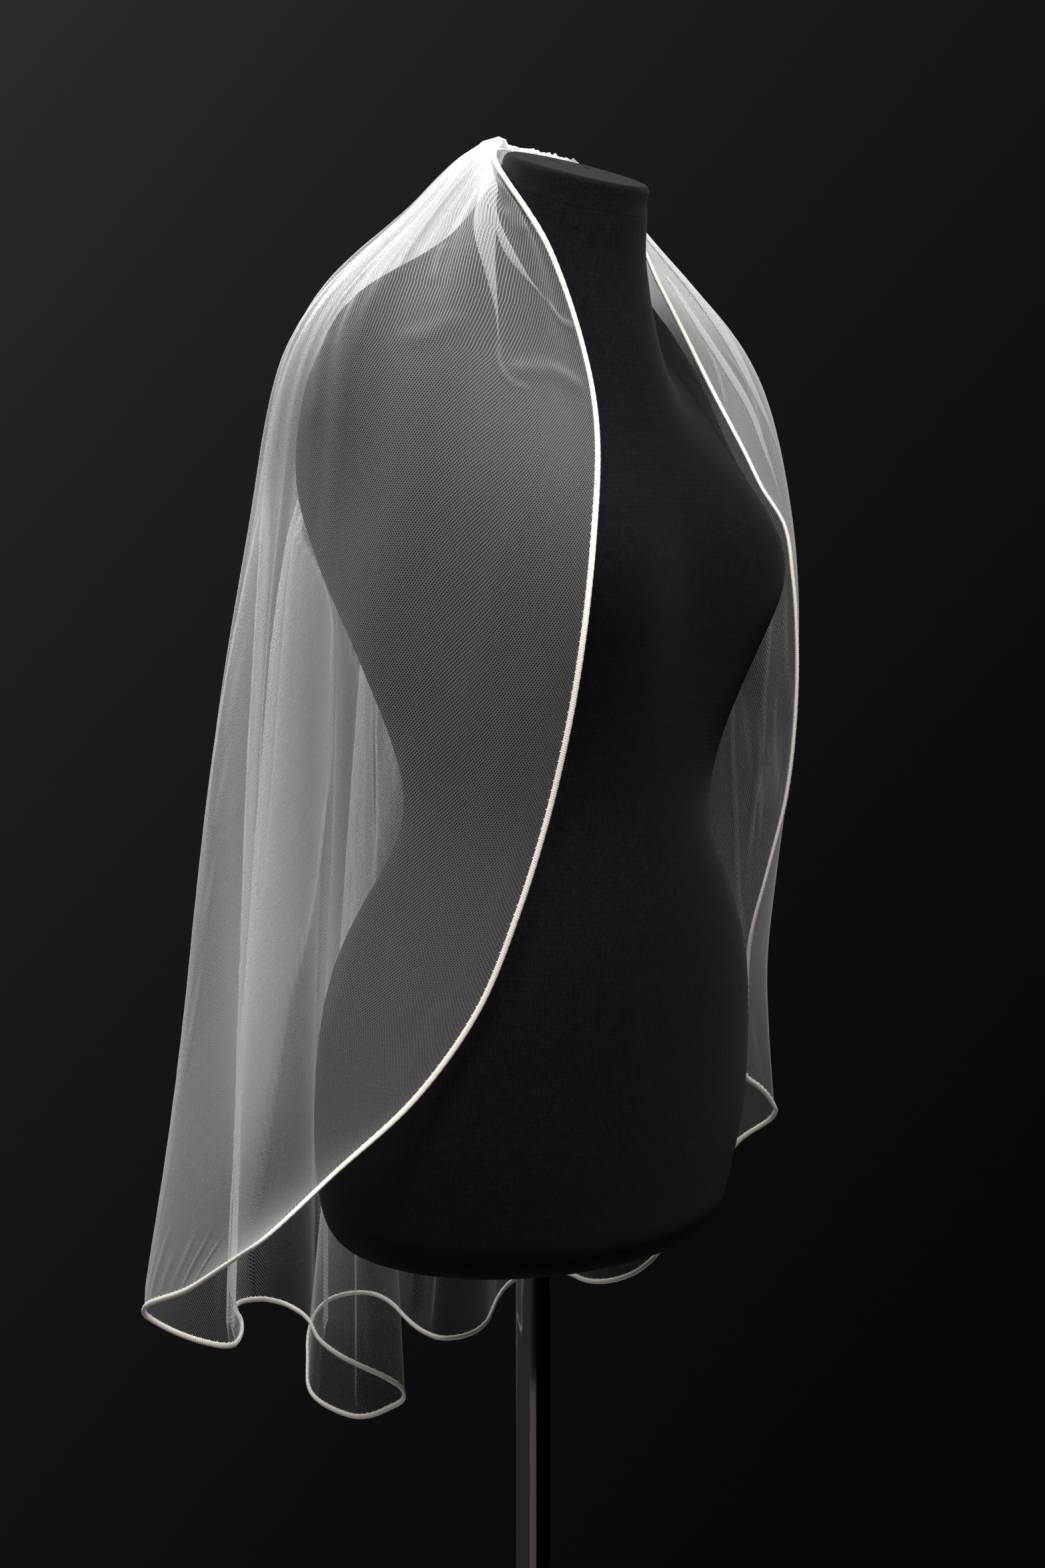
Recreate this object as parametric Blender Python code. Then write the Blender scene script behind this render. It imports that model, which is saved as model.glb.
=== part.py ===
# Short bridal veil of stiff net, gathered on a comb and worn by a limbless dress form on a pole.
# Metres, +Z up. The origin is on the pole's axis at the floor, the form faces -Y.
import math

import bmesh
import bpy
import numpy as np
from mathutils import Vector
from mathutils.bvhtree import BVHTree

for old in list(bpy.data.objects):
    bpy.data.objects.remove(old, do_unlink=True)

# Driving dimensions
wall_thickness = 0.0012
seam_gap = 0.0004
cord_width = 0.0036
cord_height = 0.0026
columns_across = 104
hem_steps = 360
hem_rounding = 14
comb_radius = 0.0558
comb_middle_angle = 86.0
comb_half_angle = 38.0
comb_teeth = 15
comb_bar_height = 0.006
comb_top = -0.001
comb_thickness = 0.0022
tooth_length = 0.020
comb_tooth_lean = 0.22
gather_pleats = 17
pleat_height = 0.003
first_pleat_height = 0.0005
net_clearance = 0.0012
cord_clearance = 0.0020
neck_cap_centre = Vector((0.0, -0.040, 1.455))
neck_cap_radius = 0.050
neck_cap_tilt = 18.0
neck_cap_thickness = 0.0052
pole_radius = 0.0125
underside_height = 0.684
base_radius = 0.180
base_thickness = 0.010
ring_points = 48

# Torso sections: height, half width, front depth, back depth, centre in y, squareness,
# bust height out of the section, neck half width, neck half depth, neck centre in y, tilt in degrees
torso_rows = (
    (0.735, 0.165, 0.127, 0.129, 0.005, 2.1, 0.000, 0.03, 0.03, 0.000, 0.0),
    (0.760, 0.171, 0.131, 0.132, 0.003, 2.1, 0.000, 0.03, 0.03, 0.000, 0.0),
    (0.800, 0.175, 0.134, 0.134, -0.001, 2.1, 0.000, 0.03, 0.03, 0.000, 0.0),
    (0.850, 0.175, 0.132, 0.132, -0.004, 2.1, 0.000, 0.03, 0.03, 0.000, 0.0),
    (0.900, 0.168, 0.130, 0.128, -0.009, 2.1, 0.000, 0.03, 0.03, -0.010, 0.0),
    (0.945, 0.149, 0.117, 0.115, -0.017, 2.05, 0.000, 0.03, 0.03, -0.020, 0.0),
    (0.980, 0.128, 0.102, 0.101, -0.022, 2.0, 0.000, 0.03, 0.03, -0.020, 0.0),
    (1.006, 0.121, 0.096, 0.096, -0.024, 2.0, 0.000, 0.03, 0.03, -0.020, 0.0),
    (1.030, 0.123, 0.098, 0.096, -0.024, 2.0, 0.000, 0.03, 0.03, -0.020, 0.0),
    (1.060, 0.131, 0.105, 0.097, -0.020, 2.05, 0.004, 0.03, 0.03, -0.020, 0.0),
    (1.097, 0.145, 0.115, 0.098, -0.012, 2.1, 0.016, 0.04, 0.04, -0.020, 0.0),
    (1.130, 0.154, 0.121, 0.104, -0.004, 2.1, 0.032, 0.04, 0.04, -0.030, 0.0),
    (1.155, 0.161, 0.124, 0.111, 0.001, 2.15, 0.044, 0.05, 0.05, -0.040, 0.0),
    (1.178, 0.167, 0.126, 0.118, 0.004, 2.2, 0.048, 0.05, 0.05, -0.045, 0.0),
    (1.200, 0.170, 0.127, 0.123, 0.006, 2.3, 0.042, 0.05, 0.055, -0.050, 0.0),
    (1.225, 0.173, 0.126, 0.126, 0.010, 2.4, 0.028, 0.055, 0.058, -0.052, 0.0),
    (1.250, 0.175, 0.119, 0.121, 0.013, 2.45, 0.014, 0.06, 0.06, -0.052, 0.0),
    (1.280, 0.176, 0.106, 0.107, 0.017, 2.5, 0.004, 0.06, 0.06, -0.048, 0.0),
    (1.310, 0.174, 0.089, 0.088, 0.020, 2.5, 0.0, 0.062, 0.058, -0.044, 0.0),
    (1.335, 0.169, 0.070, 0.064, 0.021, 2.4, 0.0, 0.062, 0.055, -0.040, 0.0),
    (1.352, 0.163, 0.055, 0.050, 0.021, 2.3, 0.0, 0.062, 0.053, -0.038, 0.0),
    (1.364, 0.154, 0.045, 0.042, 0.019, 2.2, 0.0, 0.061, 0.052, -0.036, 0.0),
    (1.375, 0.136, 0.038, 0.037, 0.014, 2.1, 0.0, 0.060, 0.052, -0.035, 1.0),
    (1.386, 0.112, 0.035, 0.036, 0.007, 2.0, 0.0, 0.058, 0.052, -0.034, 2.5),
    (1.398, 0.086, 0.034, 0.037, -0.001, 2.0, 0.0, 0.056, 0.052, -0.034, 5.0),
    (1.410, 0.067, 0.034, 0.038, -0.006, 2.0, 0.0, 0.054, 0.052, -0.035, 9.0),
    (1.424, 0.055, 0.034, 0.038, -0.014, 2.0, 0.0, 0.053, 0.051, -0.037, 14.0),
    (1.438, 0.045, 0.034, 0.036, -0.025, 2.0, 0.0, 0.0515, 0.0505, -0.0385, 18.0),
    (1.449, 0.036, 0.034, 0.034, -0.036, 2.0, 0.0, 0.050, 0.050, -0.040, 18.0),
)

# Rounded underside of the torso: height, share of the lowest section
underside_rows = ((0.722, 0.985), (0.710, 0.95), (0.700, 0.89), (0.693, 0.80), (0.688, 0.66),
                  (0.685, 0.45), (0.684, 0.22))

# Hanging lines of the net in mm, one row per line, near front edge first:
# share of columns, share of hem, then x, y, z at neck, shoulder, bust, waist, thigh and hem
fall_rows = (
    (0.00, 0.00, -55, -52, 1408, -55, -99, 1306, -110, -148, 1191, -134, -121, 992,
     -164, -87, 877, -270, 2, 737),
    (0.05, 0.03, -68, -38, 1413, -112, -85, 1330, -158, -122, 1195, -176, -92, 995,
     -203, -52, 868, -264, 43, 715),
    (0.11, 0.07, -88, -2, 1418, -172, -40, 1338, -203, -55, 1200, -220, -25, 1000,
     -236, 15, 855, -246, 110, 679),
    (0.15, 0.095, -88, 20, 1426, -176, 22, 1358, -196, 30, 1200, -210, 62, 1010,
     -222, 90, 858, -240, 140, 665),
    (0.19, 0.118, -80, 44, 1423, -142, 84, 1355, -171, 106, 1200, -190, 137, 1020,
     -200, 149, 860, -220, 164, 654),
    (0.29, 0.22, -50, 60, 1432, -90, 114, 1352, -112, 144, 1200, -121, 167, 1010,
     -130, 180, 835, -140, 190, 620),
    (0.385, 0.33, -25, 74, 1436, -45, 138, 1352, -58, 166, 1200, -62, 186, 1005,
     -65, 200, 825, -68, 215, 592),
    (0.49, 0.45, 0, 76, 1437, 0, 142, 1352, 0, 170, 1200, 0, 192, 1005,
     0, 206, 820, 0, 220, 560),
    (0.59, 0.57, 25, 74, 1436, 50, 138, 1352, 65, 166, 1200, 72, 188, 1005,
     80, 205, 825, 88, 225, 562),
    (0.68, 0.68, 52, 66, 1432, 95, 122, 1352, 120, 150, 1200, 132, 170, 1010,
     142, 185, 835, 155, 205, 575),
    (0.78, 0.785, 78, 50, 1427, 140, 92, 1352, 165, 112, 1200, 182, 132, 1010,
     195, 142, 850, 219, 158, 600),
    (0.835, 0.85, 90, 30, 1424, 166, 58, 1351, 190, 68, 1200, 203, 90, 1010,
     214, 98, 850, 232, 76, 625),
    (0.89, 0.91, 96, 2, 1419, 184, 6, 1344, 207, 3, 1200, 216, 20, 1010,
     228, 35, 855, 255, 34, 695),
    (0.95, 0.952, 90, -31, 1410, 187, -60, 1322, 203, -81, 1200, 202, -64, 1005,
     216, -37, 865, 261, -12, 738),
    (1.00, 1.00, 54, -55, 1404, 90, -81, 1320, 119, -133, 1191, 151, -111, 1008,
     167, -69, 904, 211, -32, 790),
)

# Hem seen from above in mm, one row per turn of a fold, near corner first: x, y, height
hem_rows = (
    (-270, 2, 737), (-254, 82, 694), (-222, 164, 652), (-212, 141, 642), (-184, 127, 631),
    (-151, 150, 625), (-105, 197, 622), (-68, 245, 618), (-30, 266, 612), (0, 268, 605),
    (0, 236, 597), (-24, 200, 591), (-27, 165, 582), (-5, 137, 567), (8, 131, 556),
    (8, 148, 544), (3, 170, 531), (12, 217, 524), (29, 266, 527), (58, 297, 539),
    (85, 324, 557), (118, 336, 573), (141, 314, 578), (136, 281, 576), (116, 236, 569),
    (112, 196, 564), (140, 184, 568), (184, 204, 585), (213, 210, 595), (224, 172, 604),
    (204, 118, 607), (212, 88, 615), (233, 77, 630), (250, 73, 653), (254, 32, 702),
    (251, 10, 731), (260, -6, 742), (264, -18, 750), (248, -27, 768), (211, -32, 790),
)

# Where a line of the net leaves the comb's ends. The front edges wrap round the neck: the first
# three numbers turn a line about the neck in degrees and draw it in, in metres
comb_ends = {"near": {"turn": 6, "draw_in": 0.009, "puff": 0.008, "rise_out": -0.002},
             "far": {"turn": 12, "draw_in": 0.004, "puff": 0.003, "rise_out": 0.004}}
wrap_turn = 42
wrap_columns = 0.15

# Long soft folds of the net: share of columns at the top and at the bottom, where it starts
# and ends along the hanging line, half width in columns, height out of the net in mm
soft_folds = (
    (0.030, 0.045, 0.04, 0.46, 1.6, 4.0),
    (0.075, 0.105, 0.05, 0.52, 1.8, 4.5),
    (0.140, 0.150, 0.06, 0.80, 2.2, -5.0),
    (0.235, 0.240, 0.08, 0.85, 2.4, 6.0),
    (0.305, 0.320, 0.08, 0.80, 2.2, -6.0),
    (0.370, 0.372, 0.08, 0.85, 2.4, 6.0),
    (0.440, 0.430, 0.08, 0.80, 2.2, -6.0),
    (0.520, 0.525, 0.08, 0.85, 2.4, 6.0),
    (0.600, 0.610, 0.08, 0.80, 2.2, -6.0),
    (0.665, 0.670, 0.08, 0.85, 2.4, 6.0),
    (0.740, 0.735, 0.08, 0.80, 2.2, -6.0),
    (0.820, 0.825, 0.06, 0.80, 2.4, 5.0),
    (0.915, 0.905, 0.05, 0.70, 2.0, -4.5),
)

# Rows of the net along each hanging line, as shares of its length
row_shares = (0.0, 0.006, 0.014, 0.028, 0.048, 0.075, 0.105, 0.135, 0.165, 0.195, 0.225, 0.255,
              0.285, 0.315, 0.345, 0.38, 0.42, 0.47, 0.53, 0.60, 0.68, 0.76, 0.84, 0.92, 1.0)


def collection_named(name):
    made = bpy.data.collections.new(name)
    bpy.context.scene.collection.children.link(made)
    return made


def material_named(name, colour, roughness, metallic=0.0):
    made = bpy.data.materials.new(name)
    made.use_nodes = True
    shader = made.node_tree.nodes["Principled BSDF"]
    shader.inputs["Base Color"].default_value = (*colour, 1.0)
    shader.inputs["Roughness"].default_value = roughness
    shader.inputs["Metallic"].default_value = metallic
    return made


def mesh_object(name, points, faces, material, smooth=True):
    mesh = bpy.data.meshes.new(name)
    mesh.from_pydata([tuple(float(v) for v in p) for p in points], [], faces)
    work = bmesh.new()
    work.from_mesh(mesh)
    bmesh.ops.recalc_face_normals(work, faces=work.faces)
    work.to_mesh(mesh)
    work.free()
    mesh.materials.append(material)
    mesh.polygons.foreach_set("use_smooth", [smooth] * len(mesh.polygons))
    made = bpy.data.objects.new(name, mesh)
    parts.objects.link(made)
    return made


def stacked_rings(rings):
    # A closed body from rings of equal size, with a middle point at each end
    count = len(rings[0])
    points = [p for ring in rings for p in ring]
    faces = []
    for i in range(len(rings) - 1):
        for j in range(count):
            a, b = i * count + j, i * count + (j + 1) % count
            faces.append((a, b, b + count, a + count))
    for ring, first, flip in ((rings[0], 0, True), (rings[-1], (len(rings) - 1) * count, False)):
        middle = len(points)
        points.append(tuple(np.mean(np.array(ring, float), axis=0)))
        for j in range(count):
            tri = (first + j, first + (j + 1) % count, middle)
            faces.append(tri[::-1] if flip else tri)
    return points, faces


def torso_ring(row, scale=1.0, height=None):
    z, wide, front, back, centre, power, bust, neck_wide, neck_deep, neck_y, tilt = row
    ring = []
    for j in range(ring_points):
        t = 2 * math.pi * j / ring_points
        c, s = math.cos(t), math.sin(t)
        deep = back if s > 0 else front
        flat = (abs(c / wide) ** power + abs(s / deep) ** power) ** (-1 / power)
        # distance along this direction to the neck's ellipse, whose centre is (0, neck_y)
        off = neck_y - centre
        qa = (c / neck_wide) ** 2 + (s / neck_deep) ** 2
        qb = s * off / neck_deep ** 2
        qc = (off / neck_deep) ** 2 - 1
        inside = qb * qb - qa * qc
        neck = (qb + math.sqrt(inside)) / qa if inside > 0 else 0.0
        neck = max(neck, 0.0)
        reach = (flat ** 9 + neck ** 9) ** (1 / 9)
        for side in (-60.0, -120.0):
            turn = math.degrees(t) - side
            turn = (turn + 180) % 360 - 180
            reach += bust * math.exp(-(turn / 25.0) ** 2)
        x, y = reach * c * scale, centre + reach * s * scale
        lift = (y - neck_y) * math.tan(math.radians(tilt))
        ring.append((x, y, (z if height is None else height) + lift))
    return ring


def make_torso():
    rings = [torso_ring(torso_rows[0], share, height) for height, share in reversed(underside_rows)]
    rings += [torso_ring(row) for row in torso_rows]
    points, faces = stacked_rings(rings)
    return mesh_object("form_torso", points, faces, black_jersey)


cap_up = Vector((0, -math.sin(math.radians(neck_cap_tilt)), math.cos(math.radians(neck_cap_tilt))))
cap_back = Vector((0, math.cos(math.radians(neck_cap_tilt)), math.sin(math.radians(neck_cap_tilt))))


def on_cap(angle, radius, up):
    turn = math.radians(angle)
    return (neck_cap_centre + Vector((1, 0, 0)) * radius * math.cos(turn)
            + cap_back * radius * math.sin(turn) + cap_up * up)


def make_neck_cap():
    thick = neck_cap_thickness
    profile = ((0.0485, -thick), (neck_cap_radius, -thick + 0.001), (neck_cap_radius, -0.0012),
               (0.0490, -0.0003), (0.0460, 0.0))
    rings = [[on_cap(360 * j / 48, radius, up) for j in range(48)] for radius, up in profile]
    points, faces = stacked_rings(rings)
    return mesh_object("neck_cap", points, faces, black_jersey)


def lathe(name, profile, material, sides):
    rings = [[(r * math.cos(2 * math.pi * j / sides), r * math.sin(2 * math.pi * j / sides), z)
              for j in range(sides)] for r, z in profile]
    points, faces = stacked_rings(rings)
    return mesh_object(name, points, faces, material)


def make_comb():
    # One curved plate: a bar along the back of the neck cap with a tapered tooth at every second step
    cells = 2 * comb_teeth - 1
    first = comb_middle_angle + comb_half_angle
    step = -2 * comb_half_angle / cells
    top, bottom = comb_top, comb_top - comb_bar_height
    points, faces = [], []

    def place(angle, up):
        low = max(bottom - up, 0.0)
        inner = comb_radius - comb_thickness / 2 + comb_tooth_lean * low
        thin = comb_thickness * (1 - 0.3 * low / tooth_length)
        points.append(on_cap(angle, inner, up))
        points.append(on_cap(angle, inner + thin, up))
        return len(points) - 2

    tops = [place(first + step * i, top) for i in range(cells + 1)]
    lows = [place(first + step * i, bottom) for i in range(cells + 1)]
    faces.append((tops[0], tops[0] + 1, lows[0] + 1, lows[0]))
    faces.append((tops[-1], lows[-1], lows[-1] + 1, tops[-1] + 1))
    for i in range(cells):
        a, b, c, d = tops[i], tops[i + 1], lows[i + 1], lows[i]
        faces.append((a, b, b + 1, a + 1))
        faces.append((a, d, c, b))
        faces.append((a + 1, b + 1, c + 1, d + 1))
        if i % 2:
            faces.append((d, d + 1, c + 1, c))
            continue
        middle = first + step * (i + 0.5)
        e = place(middle - step * 0.22, bottom - tooth_length)
        f = place(middle + step * 0.22, bottom - tooth_length)
        faces.append((d, e, f, c))
        faces.append((d + 1, c + 1, f + 1, e + 1))
        faces.append((d, d + 1, e + 1, e))
        faces.append((c, f, f + 1, c + 1))
        faces.append((e, e + 1, f + 1, f))
    return mesh_object("comb", points, faces, clear_plastic, smooth=False)


def spline_at(xs, table, x):
    # Smooth value of each column of the table at x, with slopes that never overshoot
    xs, table = np.asarray(xs, float), np.asarray(table, float)
    gap = np.diff(xs)[:, None]
    rise = np.diff(table, axis=0) / gap
    slope = np.zeros_like(table)
    slope[1:-1] = (rise[1:] * gap[:-1] + rise[:-1] * gap[1:]) / (gap[1:] + gap[:-1])
    slope[0], slope[-1] = rise[0], rise[-1]
    i = int(np.clip(np.searchsorted(xs, x, side="right") - 1, 0, len(xs) - 2))
    h = xs[i + 1] - xs[i]
    t = (x - xs[i]) / h
    return ((2 * t ** 3 - 3 * t ** 2 + 1) * table[i] + (t ** 3 - 2 * t ** 2 + t) * h * slope[i]
            + (-2 * t ** 3 + 3 * t ** 2) * table[i + 1] + (t ** 3 - t ** 2) * h * slope[i + 1])


def fade(value, low, high):
    t = min(max((value - low) / (high - low), 0.0), 1.0)
    return t * t * (3 - 2 * t)


def net_normals(grid):
    along = np.gradient(grid, axis=0)
    down = np.gradient(grid, axis=1)
    normal = np.cross(along, down)
    normal /= np.linalg.norm(normal, axis=2, keepdims=True)
    # calmer near the gathered edge, where the lines lie closer together than the wall is thick
    for _ in range(3):
        mean = normal.copy()
        mean[1:-1, :4] = (normal[:-2, :4] + 2 * normal[1:-1, :4] + normal[2:, :4]) / 4
        normal = mean
    return normal / np.linalg.norm(normal, axis=2, keepdims=True)


def shortfall(point, trees, clear):
    # The move that takes a point to the given distance from the form, or nothing
    move = Vector((0, 0, 0))
    for tree in trees:
        spot, facing, _, far = tree.find_nearest(Vector(point))
        away = Vector(point) - spot
        if away.dot(facing) < -0.5 * far:
            move += facing * (clear + far)
        elif far < clear:
            move += away.normalized() * (clear - far)
    return np.array(move)


def push_clear(grid, trees, clear):
    # Points too near to the form are moved out of it, and so are both ends of a step whose
    # middle is too near
    count, rows = grid.shape[:2]
    for i in range(count):
        for j in range(1, rows):
            grid[i, j] += shortfall(grid[i, j], trees, clear[i])
    for di, dj in ((0, 1), (1, 0), (1, 1), (1, -1)):
        for i in range(count - di):
            for j in range(max(1, 1 - dj), rows - max(dj, 0)):
                need = (clear[i] + clear[i + di]) / 2 - 0.0006
                move = shortfall((grid[i, j] + grid[i + di, j + dj]) / 2, trees, need)
                grid[i, j] += move
                grid[i + di, j + dj] += move
    return grid


def gather_knots(c, neck):
    # The top of a hanging line: sewn to the comb, raised from it, bent over and laid on the neck
    near, far = comb_ends["near"], comb_ends["far"]
    end = near if c < 0.5 else far
    nearness = 1 - fade(c, 0.0, 0.4)
    puff = far["puff"] + (near["puff"] - far["puff"]) * nearness
    rise_out = far["rise_out"] + (near["rise_out"] - far["rise_out"]) * nearness
    beside = max(1 - min(c, 1 - c) / wrap_columns, 0.0)
    swing = beside if c < 0.5 else -beside
    draw_in = end["draw_in"] * beside
    angle = comb_middle_angle + (comb_half_angle - 1.5) * (1 - 2 * c)
    start = comb_top + wall_thickness / 2 + seam_gap + 0.0003
    sewn = np.array(on_cap(angle, comb_radius, start))
    raised = np.array(on_cap(angle, comb_radius + rise_out, start + puff))
    over = np.array(on_cap(angle + end["turn"] * swing, comb_radius + 0.012 - draw_in,
                           start + puff * 0.6 - 0.005 * beside))
    collar = over + (neck - over) * 0.33 + np.array((0, 0, 0.005))
    wrapped = np.array(on_cap(angle + wrap_turn * swing, comb_radius + 0.010 - draw_in, -0.015))
    return [sewn, raised, over, collar * (1 - beside) + wrapped * beside]


def rounded_hem():
    # The hem's curve as even steps, its turns rounded as stiff net rounds them
    hem = np.array(hem_rows) / 1000
    walked = np.concatenate([[0], np.cumsum(np.linalg.norm(np.diff(hem, axis=0), axis=1))])
    steps = np.linspace(0, 1, hem_steps + 1)
    curve = np.array([spline_at(walked / walked[-1], hem, step) for step in steps])
    for _ in range(hem_rounding):
        curve[1:-1] = (curve[:-2] + 2 * curve[1:-1] + curve[2:]) / 4
    return steps, curve


def hanging_net():
    # Each column of the net follows its hanging line, and takes up the hem's folds below the shoulder
    shares = [row[0] for row in fall_rows]
    hem_share = np.array([[row[1]] for row in fall_rows])
    lines = np.array([row[2:] for row in fall_rows]) / 1000
    walked, hem = rounded_hem()
    grid = np.zeros((columns_across, len(row_shares), 3))
    for i in range(columns_across):
        c = i / (columns_across - 1)
        along_hem = float(np.clip(spline_at(shares, hem_share, c)[0], 0, 1))
        level = spline_at(shares, lines, c).reshape(6, 3)
        knots = np.vstack(gather_knots(c, level[0]) + [level])
        steps = np.concatenate([[0], np.cumsum(np.linalg.norm(np.diff(knots, axis=0), axis=1))])
        line = np.array([spline_at(steps / steps[-1], knots, s) for s in row_shares])
        extra = spline_at(walked, hem, along_hem) - level[5]
        shoulder = steps[5] / steps[-1]
        for j, s in enumerate(row_shares):
            grid[i, j] = line[j] + extra * max((s - shoulder) / (1 - shoulder), 0.0) ** 0.9
    return grid


def settle(grid, trees, clear):
    # Pushed off the form and calmed in turns, so that it lies on the shoulders without dents
    calming = np.array([fade(s, 0.03, 0.2) * (1 - fade(s, 0.55, 0.9)) for s in row_shares])
    for _ in range(6):
        push_clear(grid, trees, clear)
        calm = grid.copy()
        calm[1:-1, 1:-1] += 0.3 * ((grid[:-2, 1:-1] + grid[2:, 1:-1]) / 2 - grid[1:-1, 1:-1])
        calm[1:-1, 1:-1] += 0.2 * ((grid[1:-1, :-2] + grid[1:-1, 2:]) / 2 - grid[1:-1, 1:-1])
        grid += (calm - grid) * calming[None, :, None]
    return grid


def pleats_and_folds(grid):
    # Heights out of the net: the gathers' even pleats, and the long folds of the table
    count = columns_across
    height = np.zeros(grid.shape[:2])
    spread = np.linalg.norm(np.gradient(grid, axis=0), axis=2)
    spread[1:-1] = (spread[:-2] + spread[1:-1] + spread[2:]) / 3
    for i in range(count):
        c = i / (count - 1)
        quiet = fade(min(c, 1 - c), 0.0, 0.05)
        for j, s in enumerate(row_shares):
            size = first_pleat_height + (pleat_height - first_pleat_height) * fade(s, 0.0, 0.06)
            size *= 1 - fade(s, 0.14, 0.42)
            # where the columns lie close, a pleat stays lower, or its wall would cross itself
            size = min(size, 0.75 * spread[i, j], spread[i, j] ** 2 / 0.0011)
            height[i, j] = size * quiet * math.sin(2 * math.pi * gather_pleats * c)
            for top, low, begin, end, width, rise in soft_folds:
                if begin < s < end:
                    where = top + (low - top) * (s - begin) / (end - begin)
                    off = (c - where) * (count - 1) / width
                    bell = math.exp(-off * off) * math.sin(math.pi * (s - begin) / (end - begin))
                    height[i, j] += bell * rise / 1000
    return height


def net_grid(trees):
    clear = np.full(columns_across, wall_thickness / 2 + net_clearance)
    clear[0] = clear[-1] = cord_height / 2 + cord_clearance
    clear[1] = clear[-2] = (clear[0] + clear[2]) / 2
    grid = settle(hanging_net(), trees, clear)
    grid += net_normals(grid) * pleats_and_folds(grid)[:, :, None]
    return push_clear(grid, trees, clear)


def make_net(grid):
    count, rows = grid.shape[:2]
    normal = net_normals(grid)
    half = wall_thickness / 2
    outer, inner = grid + normal * half, grid - normal * half
    points = np.concatenate([outer.reshape(-1, 3), inner.reshape(-1, 3)])
    total = count * rows

    def at(i, j, side=0):
        return side * total + i * rows + j

    faces = []
    for i in range(count - 1):
        for j in range(rows - 1):
            a, b, c, d = at(i, j), at(i + 1, j), at(i + 1, j + 1), at(i, j + 1)
            first = np.linalg.norm(grid[i, j] - grid[i + 1, j + 1])
            second = np.linalg.norm(grid[i + 1, j] - grid[i, j + 1])
            # both faces of the wall are cut along the same diagonal, so that they stay parallel
            for tri in ((a, b, c), (a, c, d)) if first < second else ((a, b, d), (b, c, d)):
                faces.append(tri)
                faces.append(tuple(v + total for v in reversed(tri)))
    for i in range(count - 1):
        faces.append((at(i, 0), at(i, 0, 1), at(i + 1, 0, 1), at(i + 1, 0)))
        faces.append((at(i, rows - 1), at(i + 1, rows - 1), at(i + 1, rows - 1, 1), at(i, rows - 1, 1)))
    for j in range(rows - 1):
        faces.append((at(0, j), at(0, j + 1), at(0, j + 1, 1), at(0, j, 1)))
        faces.append((at(count - 1, j), at(count - 1, j, 1), at(count - 1, j + 1, 1), at(count - 1, j + 1)))
    return mesh_object("veil_tulle", points, faces, white_net)


def make_cord(grid, trees):
    # The cord runs beside the net's own edge, moved out by the seam gap
    normal = net_normals(grid)
    count, rows = grid.shape[:2]
    path = [(0, j) for j in range(2, rows - 1)] + [(i, rows - 1) for i in range(count)]
    path += [(count - 1, j) for j in range(rows - 2, 1, -1)]
    edge = np.array([grid[i, j] for i, j in path])
    centres, sides = [], []
    for k, (i, j) in enumerate(path):
        near, far = edge[max(k - 1, 0)], edge[min(k + 1, len(edge) - 1)]
        first, second = edge[k] - near, far - edge[k]
        first = first / max(np.linalg.norm(first), 1e-9)
        second = second / max(np.linalg.norm(second), 1e-9)
        along = (first + second) / np.linalg.norm(first + second)
        inward = grid[min(max(i, 1), count - 2), min(j, rows - 2)] - edge[k]
        out = along * np.dot(inward, along) - inward
        out /= np.linalg.norm(out)
        here = np.cross(along, out)
        bend = max(np.dot(along, second), np.dot(along, first), 0.6)
        centre = edge[k] + out * (cord_width / 2 + seam_gap) / bend
        move = shortfall(centre, trees, cord_width / 2 + 0.0012)
        centres.append(centre + here * np.sign(np.dot(here, move)) * np.linalg.norm(move))
        sides.append(out)
    centres = np.array(centres)
    for k in range(len(centres) - 1):
        for share in (0.25, 0.5, 0.75):
            between = centres[k] * (1 - share) + centres[k + 1] * share
            move = shortfall(between, trees, cord_width / 2 + 0.0010)
            centres[k] += move
            centres[k + 1] += move
    rings = []
    for k, centre in enumerate(centres):
        ahead = centres[min(k + 1, len(centres) - 1)] - centres[max(k - 1, 0)]
        ahead /= np.linalg.norm(ahead)
        out = sides[k] - ahead * np.dot(sides[k], ahead)
        out /= np.linalg.norm(out)
        up = np.cross(ahead, out)
        ring = []
        for m in range(6):
            t = 2 * math.pi * m / 6
            ring.append(centre + out * math.cos(t) * cord_width / 2 + up * math.sin(t) * cord_height / 2)
        rings.append(ring)
    points, faces = stacked_rings(rings)
    return mesh_object("edge_cord", points, faces, white_satin)


parts = collection_named("fingertip_veil")
white_net = material_named("white_net", (0.90, 0.90, 0.88), 0.7)
white_satin = material_named("white_satin", (0.93, 0.92, 0.88), 0.4)
clear_plastic = material_named("clear_plastic", (0.85, 0.85, 0.85), 0.3)
black_jersey = material_named("black_jersey", (0.012, 0.012, 0.014), 0.9)
chrome_steel = material_named("chrome_steel", (0.75, 0.75, 0.76), 0.12, 1.0)

torso = make_torso()
cap = make_neck_cap()
comb = make_comb()
lathe("pole", ((pole_radius - 0.0008, base_thickness + 0.0003), (pole_radius, base_thickness + 0.0011),
               (pole_radius, underside_height - 0.0011), (pole_radius - 0.0008, underside_height - 0.0003)),
      chrome_steel, 32)
lathe("base_disc", ((base_radius - 0.002, 0.0), (base_radius, 0.002), (base_radius, base_thickness - 0.004),
                    (base_radius - 0.0015, base_thickness - 0.0012), (base_radius - 0.005, base_thickness)),
      chrome_steel, 72)


def tree_of(made):
    mesh = made.data
    return BVHTree.FromPolygons([v.co for v in mesh.vertices], [tuple(p.vertices) for p in mesh.polygons])


form = [tree_of(torso), tree_of(cap)]
grid = net_grid(form)
make_net(grid)
make_cord(grid, form)
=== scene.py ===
import math

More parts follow.
